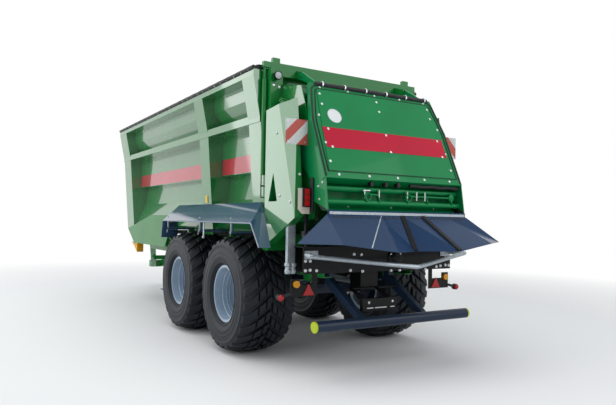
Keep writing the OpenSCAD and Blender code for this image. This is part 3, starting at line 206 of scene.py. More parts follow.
# Chassis, drawbar and floor frame: welded channel rails, cross tubes and a V of tapering beams, sprayed
# green. The paint is a glossy enamel, and its reflections waver because sheet is never quite flat.
def cloud(place, scale, detail=3.0, rough=0.55):
    """Soft noise over the piece, from 0 to 1."""
    sockets = {"Vector": place, "Scale": scale, "Detail": detail, "Roughness": rough}
    return place.node("TexNoise", None, sockets)


def blend(mask, under, over):
    """One colour over another where the mask is 1."""
    return mask.node("Mix", {"data_type": "RGBA"}, {"Factor": mask, 6: under, 7: over}, out=2)


def bump(wire, strength, depth, height, normal=None):
    """A surface raised by a height, over another normal where one is given."""
    sockets = {"Strength": strength, "Distance": depth, "Height": height}
    return wire.node("Bump", None, sockets | ({"Normal": normal} if normal else {}))


def rgb(code):
    """A screen colour code as the linear values that a shader takes."""
    parts = [int(code[i:i + 2], 16) / 255 for i in (1, 3, 5)]
    return (*[c / 12.92 if c <= 0.04045 else ((c + 0.055) / 1.055) ** 2.4 for c in parts], 1)


def shade(colour, share):
    """The same colour, darker or lighter by a share."""
    return (*[share * c for c in colour[:3]], 1)


road_dust = rgb("#8a7a5e")
dust_low, dust_high = 0.3, 2.0


def enamel(name, colour, roughness=0.3, dust=0.1, coat=0.3, gloss=1.5, shine=0.18, sway=0.0012):
    """Sprayed enamel: orange peel, wavering sheet, rounded edges, and more dust towards the ground."""
    made, shader, wire, place = finish(name)
    height = wire.node("SeparateXYZ", None, {0: place}, out="Z")
    drift = cloud(place, 1.7, 4.0)
    grit = cloud(place, 38.0, 6.0, 0.7)
    dusty = dust * (1 - slope(height, dust_low, dust_high)) * slope(grit, 0.35, 0.75) + dust * 0.12 * drift
    tint = blend(dusty, blend(slope(drift, 0.3, 0.75), colour, shade(colour, 0.84)), road_dust)
    rounded = wire.node("Bevel", {"samples": 4}, {"Radius": 0.004})
    waves = bump(wire, 0.5, sway, cloud(place, 2.6, 1.0), rounded)
    peel = bump(wire, 0.1, 0.0004, cloud(place, 420.0, 2.0), waves)
    feed(shader, Base_Color=tint, Roughness=roughness + 0.35 * dusty + 0.08 * drift, Normal=peel,
         Coat_Weight=coat * (1 - dusty), Coat_Roughness=0.05, Coat_IOR=gloss, Specular_IOR_Level=shine)
    return made


def dress(material, *names):
    """Gives solids of the frame a finish."""
    for name in names:
        mesh = nodes[name].data
        mesh.materials.clear()
        mesh.materials.append(material)


green = enamel("green_enamel", rgb("#06762f"))
dress(green, "chassis", "drawbar", "floor_frame")


# Running gear: square axle beams with brake drums and hubs on leaf springs, all in anthracite paint, and a
# galvanised drive shaft. U-bolts clamp the spring packs to the axle beams.
class Form:
    """Gathers the points and faces of one piece, in metres in the machine's frame."""

    def __init__(self):
        self.points = []
        self.faces = []

    def add(self, points, faces):
        start = len(self.points)
        self.points += [Vector(p) for p in points]
        self.faces += [[start + i for i in face] for face in faces]

    def loft(self, rings, ends=True):
        """Skins a row of rings that have the same number of points."""
        n = len(rings[0])
        sides = [[i * n + k, i * n + (k + 1) % n, (i + 1) * n + (k + 1) % n, (i + 1) * n + k]
                 for i in range(len(rings) - 1) for k in range(n)]
        caps = [list(range(n))[::-1], [(len(rings) - 1) * n + k for k in range(n)]] if ends else []
        self.add([p for ring in rings for p in ring], sides + caps)

    def plate(self, outline, push):
        """An outline of points pushed along a vector."""
        self.loft([[Vector(p) for p in outline], [Vector(p) + Vector(push) for p in outline]])

    def block(self, low, high):
        """A block between two corners."""
        (a, b, c), (d, e, f) = low, high
        self.plate([(a, b, c), (d, b, c), (d, e, c), (a, e, c)], (0, 0, f - c))

    def turned(self, profile, centre, axis, steps=32, ends=True):
        """A profile of (along, radius) pairs turned about an axis."""
        axis = Vector(axis).normalized()
        side = axis.orthogonal().normalized()
        over = axis.cross(side)
        spokes = [cos(tau * k / steps) * side + sin(tau * k / steps) * over for k in range(steps)]
        self.loft([[Vector(centre) + axis * t + r * spoke for spoke in spokes] for t, r in profile], ends)

    def bar(self, start, end, radius, steps=16):
        """A round bar from one place to another."""
        length = (Vector(end) - Vector(start)).length
        self.turned([(0, radius), (length, radius)], start, Vector(end) - Vector(start), steps)

    def swept(self, path, section, facing):
        """A section of (sideways, outwards) pairs along a path on a surface that faces one way."""
        rings = []
        for i, centre in enumerate(path):
            heading = (path[min(i + 1, len(path) - 1)] - path[max(i - 1, 0)]).normalized()
            side = heading.cross(facing).normalized()
            rings.append([centre + a * side + b * side.cross(heading) for a, b in section])
        self.loft(rings)

    def hoop(self, centre, axis, radius, thick, steps=48, sides=10):
        """A round ring about an axis."""
        axis = Vector(axis).normalized()
        side = axis.orthogonal().normalized()
        over = axis.cross(side)
        rings = []
        for k in range(steps + 1):
            out = cos(tau * k / steps) * side + sin(tau * k / steps) * over
            middle = Vector(centre) + radius * out
            turns = [tau * m / sides for m in range(sides)]
            rings.append([middle + thick * (cos(t) * out + sin(t) * axis) for t in turns])
        self.loft(rings, ends=False)

    def bolt(self, seat, axis, size):
        """A washer and a hexagon head of a bolt whose thread has that size."""
        washer_t = 0.2
        washer = [(0, 1.15), (0.16, 1.15), (washer_t, 1.1)]
        hexagon = [(0, 0.92), (0.5, 0.92), (0.64, 0.78)]
        self.turned([(size * t, size * r) for t, r in washer], seat, axis, 20)
        head = Vector(seat) + Vector(axis).normalized() * washer_t * size
        self.turned([(size * t, size * r) for t, r in hexagon], head, axis, 6)

    def button(self, seat, axis, size):
        """A low round screw head on its washer."""
        shares = [(0, 1.35), (0.18, 1.35), (0.22, 1.0), (0.5, 0.86), (0.66, 0.5), (0.68, 0.2)]
        self.turned([(size * t, size * r) for t, r in shares], seat, axis, 18)

    def mirrored(self):
        """Adds the same forms on the other side of the machine."""
        n = len(self.points)
        self.points += [Vector((p.x, -p.y, p.z)) for p in self.points]
        self.faces += [[n + i for i in face[::-1]] for face in self.faces]

    def piece(self, name, body, material, edge=0.0, smooth=40):
        """Makes the piece, eases its edges, and lets it ride on a body."""
        mesh = bpy.data.meshes.new(name)
        mesh.from_pydata(self.points, [], self.faces)
        shape = bmesh.new()
        shape.from_mesh(mesh)
        bmesh.ops.remove_doubles(shape, verts=shape.verts, dist=1e-6)
        bmesh.ops.recalc_face_normals(shape, faces=shape.faces)
        shape.to_mesh(mesh)
        shape.free()
        mesh.materials.append(material)
        mesh.shade_smooth()
        mesh.set_sharp_from_angle(angle=radians(smooth))
        made = bpy.data.objects.new(name, mesh)
        bpy.context.scene.collection.objects.link(made)
        if edge:
            easing = made.modifiers.new("eased_edges", "BEVEL")
            easing.width, easing.segments, easing.limit_method = edge, 2, "ANGLE"
            easing.angle_limit = radians(smooth)
        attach(made, body)
        return made


def zinc_plate(name, colour, roughness):
    """Zinc with faint crystals, brighter where it is rubbed."""
    made, shader, wire, place = finish(name)
    crystal = wire.node("TexVoronoi", {"feature": "F1"}, {"Vector": place, "Scale": 70.0}, out="Color")
    grey = wire.node("RGBToBW", None, {0: crystal})
    drift = cloud(place, 9.0, 4.0)
    tint = blend(slope(grey, 0.2, 0.9), colour, shade(colour, 0.78))
    rough_cast = bump(wire, 0.15, 0.0005, cloud(place, 220.0))
    feed(shader, Base_Color=tint, Metallic=0.9 - 0.25 * drift, Roughness=roughness + 0.2 * drift,
         Normal=rough_cast)
    return made


anthracite = enamel("anthracite_enamel", rgb("#142a42"), 0.28, 0.08, coat=0.2, shine=0.12)
dress(anthracite, "axles", "leaf_springs")
bright_zinc = zinc_plate("bright_zinc", rgb("#d2d6d8"), 0.28)
galvanised = zinc_plate("galvanised", rgb("#aab4bb"), 0.36)
dress(galvanised, "drive_shaft")

spring_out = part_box("leaf_springs")[1].y
beam_half = 0.065
pack_rise = 0.072
u_bolt_half_l, u_bolt_r, u_bolt_nut = 0.052, 0.011, 0.018
u_bolt_insets = (0.026, 0.104)
thread_low, thread_high = 0.05, 0.03
clamp_half_l, clamp_t = 0.085, 0.018
clamp_in, clamp_out = 0.14, 0.008
u_bolts = Form()
for axle in ("wheel_rear_left_spin", "wheel_front_left_spin"):
    hub = spot(axle)
    under, over = hub.z - beam_half, hub.z + beam_half + pack_rise
    for x in (hub.x - u_bolt_half_l, hub.x + u_bolt_half_l):
        for y in (spring_out - inset for inset in u_bolt_insets):
            u_bolts.bar((x, y, under - thread_low), (x, y, over + thread_high), u_bolt_r)
            u_bolts.bolt((x, y, under - clamp_t), (0, 0, -1), u_bolt_nut)
            u_bolts.bolt((x, y, over), (0, 0, 1), u_bolt_nut)
    u_bolts.block((hub.x - clamp_half_l, spring_out - clamp_in, under - clamp_t),
                  (hub.x + clamp_half_l, spring_out + clamp_out, under))
u_bolts.mirrored()
u_bolts.piece("spring_u_bolts", "trailer", bright_zinc)


# Towing eye and jack: a forged eye is bolted to the drawbar's head by its flange, and a foot plate on a box
# leg swings up on a pin between two lugs.
skins = {}


def seat_on(name, start, heading):
    """Where a line from start first meets a solid of the frame, and the way that the surface faces there."""
    if name not in skins:
        mesh = nodes[name].data
        faces = [list(face.vertices) for face in mesh.polygons]
        skins[name] = BVHTree.FromPolygons([v.co for v in mesh.vertices], faces)
    place, facing, _, _ = skins[name].ray_cast(Vector(start), Vector(heading).normalized())
    if place and facing.dot(Vector(heading)) > 0:
        facing = -facing
    return place, facing


dress(galvanised, "towing_eye")
dress(anthracite, "jack_leg")
eye_low, eye_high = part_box("towing_eye")
flange_r = (eye_high.z - eye_low.z) / 2
flange_edge = 0.02
flange_bolt_r = flange_r - flange_edge
flange_bolt_count, flange_bolt_size = 6, 0.013
flange_ahead = 0.12
eye_z = (eye_low.z + eye_high.z) / 2
jack_pin = spot("jack_swing")
pin_beside, pin_nut = 0.3, 0.018
front_bolts = Form()
for k in range(flange_bolt_count):
    turn = tau * (k + 0.5) / flange_bolt_count
    start = (eye_low.x + flange_ahead, flange_bolt_r * cos(turn), eye_z + flange_bolt_r * sin(turn))
    place, facing = seat_on("towing_eye", start, (-1, 0, 0))
    front_bolts.bolt(place, facing, flange_bolt_size)
for hand in (1, -1):
    place, facing = seat_on("drawbar", jack_pin + Vector((0, pin_beside * hand, 0)), (0, -hand, 0))
    front_bolts.bolt(place, facing, pin_nut)
front_bolts.piece("drawbar_bolts", "trailer", bright_zinc)


# Tyres: wide flotation tyres. Each curved bar of the tread is cut into a shoulder, a middle and a centre
# block, and the bars of the two halves are set half a step apart. The rubber is dull black and a little
# dusty, with painted shade down in the grooves.
def tyre_rubber():
    """Dull black rubber with a little dust, and painted shade in the grooves where ambient occlusion finds
    them.
    """
    made, shader, wire, place = finish("tyre_rubber")
    drift = cloud(place, 6.0, 5.0, 0.65)
    grit = cloud(place, 90.0, 5.0, 0.7)
    # Ambient occlusion mixes the deep colour #05070a into the grooves: painted shade.
    groove_shade_ao = wire.node("AmbientOcclusion", {"samples": 8}, {"Distance": 0.09}, out="AO")
    dusty = slope(drift, 0.45, 0.8) * slope(grit, 0.4, 0.7)
    black_tint = blend(slope(grit, 0.3, 0.8), rgb("#14191f"), rgb("#20262d"))
    tint = blend(0.1 * dusty, blend(slope(groove_shade_ao, 0.35, 0.8), rgb("#05070a"), black_tint), rgb("#6d675c"))
    feed(shader, Base_Color=tint, Roughness=0.5 + 0.3 * dusty, Specular_IOR_Level=0.25,
         Normal=bump(wire, 0.35, 0.0012, cloud(place, 160.0, 4.0)))
    return made


rubber = tyre_rubber()
tyre_r = rear_axle.z
tyre_half_w = (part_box("tyre_rear_left")[1].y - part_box("tyre_rear_left")[0].y) / 2
lug_h = 0.042
tread_r = tyre_r - lug_h
bead_r = 0.3363
lug_count = 26
lug_pitch = tau * tread_r / lug_count
lug_half = 0.285 * lug_pitch
lug_slant = 1.45 * lug_pitch
lug_far, lug_near = 0.95, 0.04
block_rows = [(0.95, 0.5), (0.455, 0.235), (0.19, 0.045)]
block_edge = 0.007
block_stations = 4
bar_curve = 1.15
crown_flat, crown_fall, crown_curve = 0.25, 0.115, 1.8
root_flare, root_sink = 0.008, 0.05
tyre_steps = 156
wall_shares = [
    (0, 0.785), (0.075, 0.785), (0.085, 0.84), (0.12, 0.905), (0.15, 0.94), (0.165, 0.965), (0.19, 0.968),
    (0.205, 0.95), (0.28, 0.975), (0.35, 0.995), (0.42, 1.0), (0.435, 0.993), (0.50, 0.995), (0.515, 1.0),
    (0.535, 1.0), (0.55, 0.995), (0.66, 0.995), (0.74, 0.99), (0.755, 0.998), (0.775, 0.998), (0.79, 0.985),
    (0.84, 0.965), (0.88, 0.94), (0.92, 0.9), (0.95, 0.85), (0.98, 0.76), (1.0, 0.64)]
wheel_places = ("front_left", "front_right", "rear_left", "rear_right")


def on_tyre(along, across, radius):
    """A place on a tyre that stands at the origin: along the tread, across it and out from the axle."""
    turn = along / tread_r
    return Vector((radius * sin(turn), across, radius * cos(turn)))


def tyre_block(form, start, hand, outer, inner):
    """One tread block between two shares of the half width, drafted and with eased edges."""
    rings = []
    for inset, rise in ((-root_flare, "root"), (0.0, "edge"), (block_edge, "top")):
        near_side, far_side = [], []
        for k in range(block_stations + 1):
            share = outer + (inner - outer) * k / block_stations
            share += {0: -inset, block_stations: inset}.get(k, 0) / tyre_half_w
            middle = start + lug_slant * (max(0.0, lug_far - share) / (lug_far - lug_near)) ** bar_curve
            top = tyre_r - crown_fall * max(0.0, share - crown_flat) ** crown_curve
            root = top - lug_h - root_sink
            radius = {"root": root, "edge": top - block_edge, "top": top}[rise]
            near_side.append(on_tyre(middle - lug_half + inset, hand * share * tyre_half_w, radius))
            far_side.append(on_tyre(middle + lug_half - inset, hand * share * tyre_half_w, radius))
        rings.append(near_side + far_side[::-1])
    form.loft(rings)


tyre_shape = Form()
half_wall = [(share * tyre_half_w, bead_r + rise * (tread_r - bead_r)) for rise, share in wall_shares]
wall = half_wall + [(-y, r) for y, r in half_wall[::-1]]
tyre_shape.loft([[on_tyre(tau * k / tyre_steps * tread_r, y, r) for y, r in wall]
                 for k in range(tyre_steps + 1)], ends=False)
for i in range(lug_count):
    for hand in (1, -1):
        for outer, inner in block_rows:
            tyre_block(tyre_shape, (i + (1 - hand) / 4) * lug_pitch, hand, outer, inner)
for wheel in wheel_places:
    hub = spot(f"wheel_{wheel}_spin")
    hand = 1 if hub.y > 0 else -1
    tyre = Form()
    tyre.points = [Vector((hub.x + p.x, hub.y + hand * p.y, hub.z + p.z)) for p in tyre_shape.points]
    tyre.faces = tyre_shape.faces
    made = tyre.piece(f"tread_{wheel}", f"wheel_{wheel}", rubber, smooth=32)
    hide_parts(f"tyre_{wheel}")


# Rims: rolled and welded steel in silver paint, with a bead ring and wheel nuts on the dished disc.
# Road dust dulls the dish a little.
silver = enamel("rim_silver", rgb("#a3b8cb"), 0.3, 0.1, coat=0.6, sway=0.0006)
dress(silver, "rim_front_left", "rim_front_right", "rim_rear_left", "rim_rear_right")
nut_count = 10
nut_circle_r = 0.168
disc_face = -0.024
nut_profile = [(0, 0.024), (0.008, 0.024), (0.012, 0.0205), (0.012, 0.018), (0.03, 0.018), (0.034, 0.014)]
stud_profile = [(0.0, 0.011), (0.046, 0.011), (0.048, 0.009)]
bead_ring_out, bead_ring_r, bead_ring_t, ring_steps = 0.192, 0.314, 0.011, 96
rolled_steps = (0.14, 0.1, 0.045)
step_sink, step_t = 0.001, 0.007
for wheel in wheel_places:
    hub = spot(f"wheel_{wheel}_spin")
    hand = 1 if hub.y > 0 else -1
    nuts = Form()
    for k in range(nut_count):
        turn = tau * k / nut_count
        seat = hub + Vector((nut_circle_r * cos(turn), hand * disc_face, nut_circle_r * sin(turn)))
        nuts.turned(nut_profile, seat, (0, hand, 0), 6)
        nuts.turned(stud_profile, seat, (0, hand, 0), 12)
    nuts.piece(f"wheel_nuts_{wheel}", f"wheel_{wheel}", bright_zinc)
    bead_ring = Form()
    ring_middle = hub + Vector((0, hand * bead_ring_out, 0))
    bead_ring.hoop(ring_middle, (0, 1, 0), bead_ring_r, bead_ring_t, ring_steps)
    for out in rolled_steps:
        middle = hub + Vector((0, hand * out, 0))
        barrel = seat_on(f"rim_{wheel}", middle, (0, 0, 1))[0]
        bead_ring.hoop(middle, (0, 1, 0), barrel.z - hub.z - step_sink, step_t, ring_steps)
    bead_ring.piece(f"bead_ring_{wheel}", f"wheel_{wheel}", silver)


# Floor and scraper: a steel floor plate with chain loops and cross slats that drag the load to the rear.
# The load scours the paint off along its way and leaves brown stain where it doesn't rub.
def worn_steel(name, paint, wear):
    """Steel whose paint is scoured off along the flow of the load."""
    made, shader, wire, place = finish(name)
    drawn = wire.node("Mapping", None, {"Vector": place, "Scale": (0.12, 1.0, 1.0)})
    scour = 0.6 * cloud(drawn, 46.0, 6.0, 0.7) + 0.4 * cloud(place, 4.0, 5.0)
    bare = slope(scour, 0.58 - 0.2 * wear, 0.66 - 0.2 * wear)
    stain = slope(cloud(place, 11.0, 6.0, 0.7), 0.45, 0.7)
    tint = blend(bare, blend(0.7 * stain, paint, rgb("#5a4630")), rgb("#8d9092"))
    feed(shader, Base_Color=tint, Metallic=0.85 * bare, Roughness=0.6 - 0.22 * bare,
         Normal=bump(wire, 0.3, 0.0008, scour))
    return made


bare_steel = worn_steel("scoured_steel", rgb("#5f6468"), 0.6)
dress(bare_steel, "floor_plate", "scraper_chain")


# Side walls: folded sheet between hollow posts, with a channel at half height and a top rail. A riveted
# rubber lip lies on the rail. The wide sheets mirror what stands around them, and their reflections waver.
def round_section(radius, sides=10):
    """The section of a round bar."""
    return [(radius * cos(tau * k / sides), radius * sin(tau * k / sides)) for k in range(sides)]


def soft_rubber(name, colour):
    """Black rubber, chalky where it has weathered."""
    made, shader, wire, place = finish(name)
    chalk = slope(cloud(place, 14.0, 5.0, 0.65), 0.45, 0.8)
    feed(shader, Base_Color=blend(0.25 * chalk, colour, rgb("#55585c")), Roughness=0.55 + 0.25 * chalk,
         Specular_IOR_Level=0.35, Normal=bump(wire, 0.25, 0.0006, cloud(place, 260.0, 3.0)))
    return made


wall_green = enamel("wall_green", rgb("#0a7632"), 0.24, 0.04, coat=1.0, gloss=1.9, sway=0.005)
dress(wall_green, "side_walls", "wall_frames")
dress(green, "front_wall", "side_skirts")
seal = soft_rubber("seal_rubber", rgb("#15171a"))
dress(seal, "top_lips")
lip_low, lip_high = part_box("top_lips")
roll_r, roll_steps, roll_sides = 0.03, 60, 14
roll_in, roll_up, roll_end = 0.008, 0.018, 0.01
roll_sway, roll_beat = 0.003, 2.1
roll_y, roll_z = lip_high.y - roll_in, lip_low.z + roll_up
roll_l = lip_high.x - lip_low.x - 2 * roll_end
roll_run = [lip_low.x + roll_end + roll_l * k / roll_steps for k in range(roll_steps + 1)]
rivet_size, rivet_facing = 0.0075, (0, 0.8, -0.6)
rivet_out, rivet_drop = 0.75 * roll_r, 0.55 * roll_r
lip_rolls = Form()
roll_path = [Vector((x, roll_y + roll_sway * sin(roll_beat * i), roll_z)) for i, x in enumerate(roll_run)]
lip_rolls.swept(roll_path, round_section(roll_r, roll_sides), Vector((0, 0, 1)))
lip_rolls.mirrored()
lip_rolls.piece("top_lip_rolls", "trailer", seal)
rivets = Form()
for x in roll_run[1:-1:2]:
    rivets.button((x, roll_y + rivet_out, roll_z - rivet_drop), rivet_facing, rivet_size)
rivets.mirrored()
rivets.piece("top_lip_rivets", "trailer", galvanised)


# Side bands and post reflectors: the bands are plain red film stuck on the sheet, with trimmed edges.
# A yellow reflector in a flat case is screwed to each middle post.
band_film = enamel("band_film", rgb("#b81330"), 0.28, 0.04, coat=1.0, gloss=1.7, sway=0.005)
dress(band_film, "side_bands")


def lens_plastic(name, colour):
    """Clear coloured plastic over small prisms."""
    made, shader, wire, place = finish(name)
    edge = wire.node("TexVoronoi", {"feature": "DISTANCE_TO_EDGE"}, {"Vector": place, "Scale": 130.0})
    prism = slope(edge, 0.0, 0.25)
    feed(shader, Base_Color=blend(prism, shade(colour, 0.55), colour), Roughness=0.3 - 0.12 * prism,
         Specular_IOR_Level=0.25, Coat_Weight=0.3, Coat_Roughness=0.05, Normal=bump(wire, 0.4, 0.0008, prism))
    return made


def first_seat(names, start, heading):
    """The nearest of the seats on several solids."""
    seats = [seat_on(name, start, heading) for name in names]
    return min((s for s in seats if s[0]), key=lambda s: (s[0] - Vector(start)).length)


yellow_lens = lens_plastic("yellow_lens", rgb("#e9c916"))
reflector_half_l, reflector_half_h, reflector_t = 0.045, 0.055, 0.009
beside_post = at(1.343, 1.7, 1.98)
post_reflectors = Form()
place, facing = first_seat(["wall_frames"], beside_post, (0, -1, 0))
tangent = Vector((1, 0, 0)).cross(facing).normalized()
corners = [(a * reflector_half_l, b * reflector_half_h) for a, b in ((-1, -1), (1, -1), (1, 1), (-1, 1))]
post_reflectors.plate([place + Vector((a, 0, 0)) + b * tangent for a, b in corners], facing * reflector_t)
post_reflectors.mirrored()
post_reflectors.piece("post_reflectors", "trailer", yellow_lens, edge=0.003)


# Mudguards: folded sheet in anthracite with a rolled lip, its blue tint a painted sky reflection. The ends of
# its screws show under the sheet, and a flat bar with a ball end hangs from it between the wheels.
def eased(path, reach, steps=5):
    """A path with its corners rounded off."""
    path = [Vector(p) for p in path]
    line = [path[0]]
    for before, corner, after in zip(path, path[1:], path[2:]):
        a = corner + reach * (before - corner).normalized()
        b = corner + reach * (after - corner).normalized()
        for k in range(steps + 1):
            u = k / steps
            line.append((1 - u) ** 2 * a + 2 * u * (1 - u) * corner + u * u * b)
    return line + [path[-1]]


# The blue base colour is anthracite with a painted sky reflection mixed in.
guard_paint_and_sky = enamel("guard_paint_and_sky", rgb("#3a5878"), 0.2, 0.05, coat=1.0, gloss=2.0, sway=0.002)
dress(guard_paint_and_sky, "mudguards")
guard_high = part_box("mudguards")[1]
lip_r, lip_bend = 0.009, 0.02
lip_y = guard_high.y - 0.5 * lip_r
lip_line = [at(-1.03, lip_y, 1.375), at(-0.81, lip_y, 1.645), at(2.45, lip_y, 1.645), at(2.5, lip_y, 1.375)]
lips = Form()
lips.swept(eased(lip_line, lip_bend), round_section(lip_r), Vector((0, 1, 0)))
lips.mirrored()
lips.piece("guard_lips", "trailer", guard_paint_and_sky)

peg_places = [-0.55, -0.05, 0.45, 0.95, 1.45, 1.95, 2.35]
peg_y, peg_start = 1.40, 1.5
peg_nut, peg_l, peg_r = 0.012, 0.045, 0.007
pegs = Form()
for x in peg_places:
    place, facing = first_seat(["mudguards"], at(x, peg_y, peg_start), (0, 0, 1))
    pegs.bolt(place, facing, peg_nut)
    pegs.bar(place, place + facing * peg_l, peg_r)
hanger_x, hanger_half, hanger_t, hanger_foot, hanger_lap = 0.77, 0.02, 0.008, 1.45, 0.006
ball_r, ball_tip, ball_steps, ball_drop = 0.022, 0.001, 10, 0.04
hanger_top = first_seat(["mudguards"], at(hanger_x, peg_y, peg_start), (0, 0, 1))[0].z + hanger_lap
pegs.block(at(hanger_x - hanger_half, peg_y - hanger_t, hanger_foot),
           at(hanger_x + hanger_half, peg_y, hanger_top))
ball_turns = [pi * k / ball_steps for k in range(ball_steps + 1)]
ball = [(ball_r * (1 - cos(turn)), max(ball_tip, ball_r * sin(turn))) for turn in ball_turns]
pegs.turned(ball, at(hanger_x, peg_y - hanger_t / 2, hanger_foot - ball_drop), (0, 0, 1), 20)
pegs.mirrored()
pegs.piece("guard_pegs", "trailer", galvanised)


# Wheel chocks: moulded yellow plastic wedges, hung under the shelves of the side skirts.
# They are matt and a little dusty.
yellow = enamel("yellow_plastic", rgb("#dd9f12"), 0.45, 0.2, coat=0.15)
dress(yellow, "wheel_chocks")


# Portal and gate: box columns and a top beam welded round the rear opening, with a gate that slides in their
# slots. Two outside cylinders lift it, fed by pipes clipped to the columns. A work lamp is screwed on at the
# left.
dress(green, "portal", "gate", "gate_barrels")
black = enamel("black_enamel", rgb("#0a0d11"), 0.4, 0.03, coat=0.08, shine=0.15)
dress(black, "hydraulic_pipes")

column_bolts = [(1.112, 3.32), (1.035, 3.305), (1.112, 2.2), (1.035, 2.2), (1.112, 1.62), (1.035, 1.62)]
column_bolt_size = 0.014
behind_columns = -3.0
bolts = Form()
for y, z in column_bolts:
    place, facing = first_seat(["portal", "cheeks", "drive_covers"], at(behind_columns, y, z), (1, 0, 0))
    bolts.bolt(place, facing, column_bolt_size)
bolts.mirrored()
bolts.piece("column_bolts", "trailer", bright_zinc)

lamp_r = 0.05
lamp_back, lamp_facing = first_seat(["portal"], at(-2.0, 1.085, 3.43), (1, 0, 0))
lamp_shares = [(0.0, 0.35), (0.3, 0.35), (0.34, 0.8), (0.7, 1.0), (1.3, 1.06), (1.42, 1.06), (1.42, 0.94)]
work_lamp = Form()
work_lamp.turned([(lamp_r * t, lamp_r * r) for t, r in lamp_shares], lamp_back, lamp_facing)
work_lamp.piece("work_lamp", "trailer", black)
clear_lens = lens_plastic("clear_lens", rgb("#c3c9cf"))
glass_shares = [(1.36, 0.95), (1.45, 0.8), (1.5, 0.3)]
lamp_glass = Form()
lamp_glass.turned([(lamp_r * t, lamp_r * r) for t, r in glass_shares], lamp_back, lamp_facing)
lamp_glass.piece("work_lamp_glass", "trailer", clear_lens)


# Cheeks and drive covers: plates at both ends of the beaters, with folded sheet covers over the drive chains.
# The covers are held by quarter-turn catches.
dress(wall_green, "cheeks", "drive_covers")
catch_places = [(-0.955, 2.694), (-1.051, 1.966), (-1.294, 1.888)]
catch_profile = [(0, 0.019), (0.005, 0.019), (0.007, 0.016), (0.007, 0.011), (0.012, 0.011), (0.013, 0.009)]
wing_low, wing_high = Vector((-0.003, 0.004, -0.009)), Vector((0.003, 0.018, 0.009))
beside_covers = 1.6
catches = Form()
for x, z in catch_places:
    place, facing = first_seat(["drive_covers"], at(x, beside_covers, z), (0, -1, 0))
    catches.turned(catch_profile, place, facing, 20)
    catches.block(place + wing_low, place + wing_high)
catches.mirrored()
catches.piece("cover_catches", "trailer", bright_zinc)


# Spreading gear: two lying beaters with screw flights and teeth, and two discs with throwing blades under
# them. The paint is soon scoured off the flights and the discs.
flight_steel = worn_steel("flight_steel", rgb("#0c5a28"), 0.35)
dress(flight_steel, "beater_lower", "beater_upper")
dress(bare_steel, "disc_left", "disc_right")


# Disc carrier: a black cross channel at the rear with the bosses of the discs, the drive gearbox and the lamp
# arms. Its bolts are zinc plated, a round bearing flange sits on its rear face, and grey posts with couplings
# at their feet stand at both sides.
dress(black, "disc_carrier", "drive_gearbox")
carrier_bolts = [(0.425, 1.31), (0.32, 1.305), (0.475, 1.125), (0.30, 1.11), (-0.125, 1.105), (-0.26, 1.105),
                 (-0.68, 1.105), (-0.865, 1.13)]
bracket_bolts = [(1.08, 1.245), (1.02, 1.245), (1.08, 1.14), (1.02, 1.145), (0.935, 1.137)]
carrier_bolt_size = 0.0165
behind_carrier = -2.5
plate_bolts = Form()
for y, z in carrier_bolts + bracket_bolts + [(-y, z) for y, z in bracket_bolts]:
    place, facing = first_seat(["disc_carrier"], at(behind_carrier, y, z), (1, 0, 0))
    plate_bolts.bolt(place, facing, carrier_bolt_size)
plate_bolts.piece("carrier_bolts", "trailer", bright_zinc)

flange_y, flange_z, flange_t = -0.18, 1.262, 0.02
flange_profile = [(0, 0.105), (0.016, 0.105), (flange_t, 0.1), (flange_t, 0.07), (0.045, 0.062), (0.06, 0.05),
                  (0.062, 0.02)]
flange_circle_r, flange_nut = 0.085, 0.011
flange_turns = (30, 150, 270)
place, facing = first_seat(["disc_carrier"], at(behind_carrier, flange_y, flange_z), (1, 0, 0))
flange = Form()
flange.turned(flange_profile, place, facing, 40)
flange.piece("bearing_flange", "trailer", black)
flange_bolts = Form()
for turn in (radians(k) for k in flange_turns):
    spoke = Vector((-flange_t, flange_circle_r * cos(turn), flange_circle_r * sin(turn)))
    flange_bolts.bolt(place + spoke, facing, flange_nut)
flange_bolts.piece("flange_bolts", "trailer", bright_zinc)

post_low, post_high = at(-1.225, 1.085, 1.2), at(-1.175, 1.185, 1.65)
cover_post = Form()
cover_post.block(post_low, post_high)
coupling = [(0, 0.03), (0.02, 0.036), (0.05, 0.036), (0.055, 0.028), (0.085, 0.028), (0.09, 0.04),
            (0.12, 0.04), (0.125, 0.03)]
coupling_x, coupling_foot = -1.2, 1.085
for y in (1.1, 1.165):
    cover_post.turned(coupling, at(coupling_x, y, coupling_foot), (0, 0, 1), 16)
cover_post.mirrored()
cover_post.piece("cover_posts", "trailer", galvanised, edge=0.004)


# Hood: a leaning frame of folded sheet closed by a screwed panel, with a plain red band across it. A black
# rubber strip runs round its edges, and a rubber lip held by zinc clips covers the gap at the top. A dark
# strip along the panel's seam is painted shade in the gap there.
def half_round(half, high, sides=6):
    """The section of a half-round strip that lies on its flat side."""
    return [(half * cos(pi * k / sides), high * sin(pi * k / sides)) for k in range(sides + 1)]


hood_green = enamel("hood_green", rgb("#047f46"), 0.3, 0.05, coat=0.15, shine=0.12, sway=0.0015)
dress(hood_green, "hood_shell", "hood_panel")
dress(enamel("hood_film", rgb("#bb0f32"), 0.3, 0.04, coat=0.12, shine=0.12), "hood_band")
hood_foot, hood_head = at(-1.713, 0, 2.154), at(-1.211, 0, 3.281)
hood_rise = (hood_head - hood_foot).normalized()
hood_out = Vector((-hood_rise.z, 0, hood_rise.x))


def on_hood(across, rise, out=0.0):
    """A place on the hood's frame: left of its middle, up from its lower edge and out from its face."""
    return hood_foot + Vector((0, across, 0)) + rise * hood_rise + out * hood_out


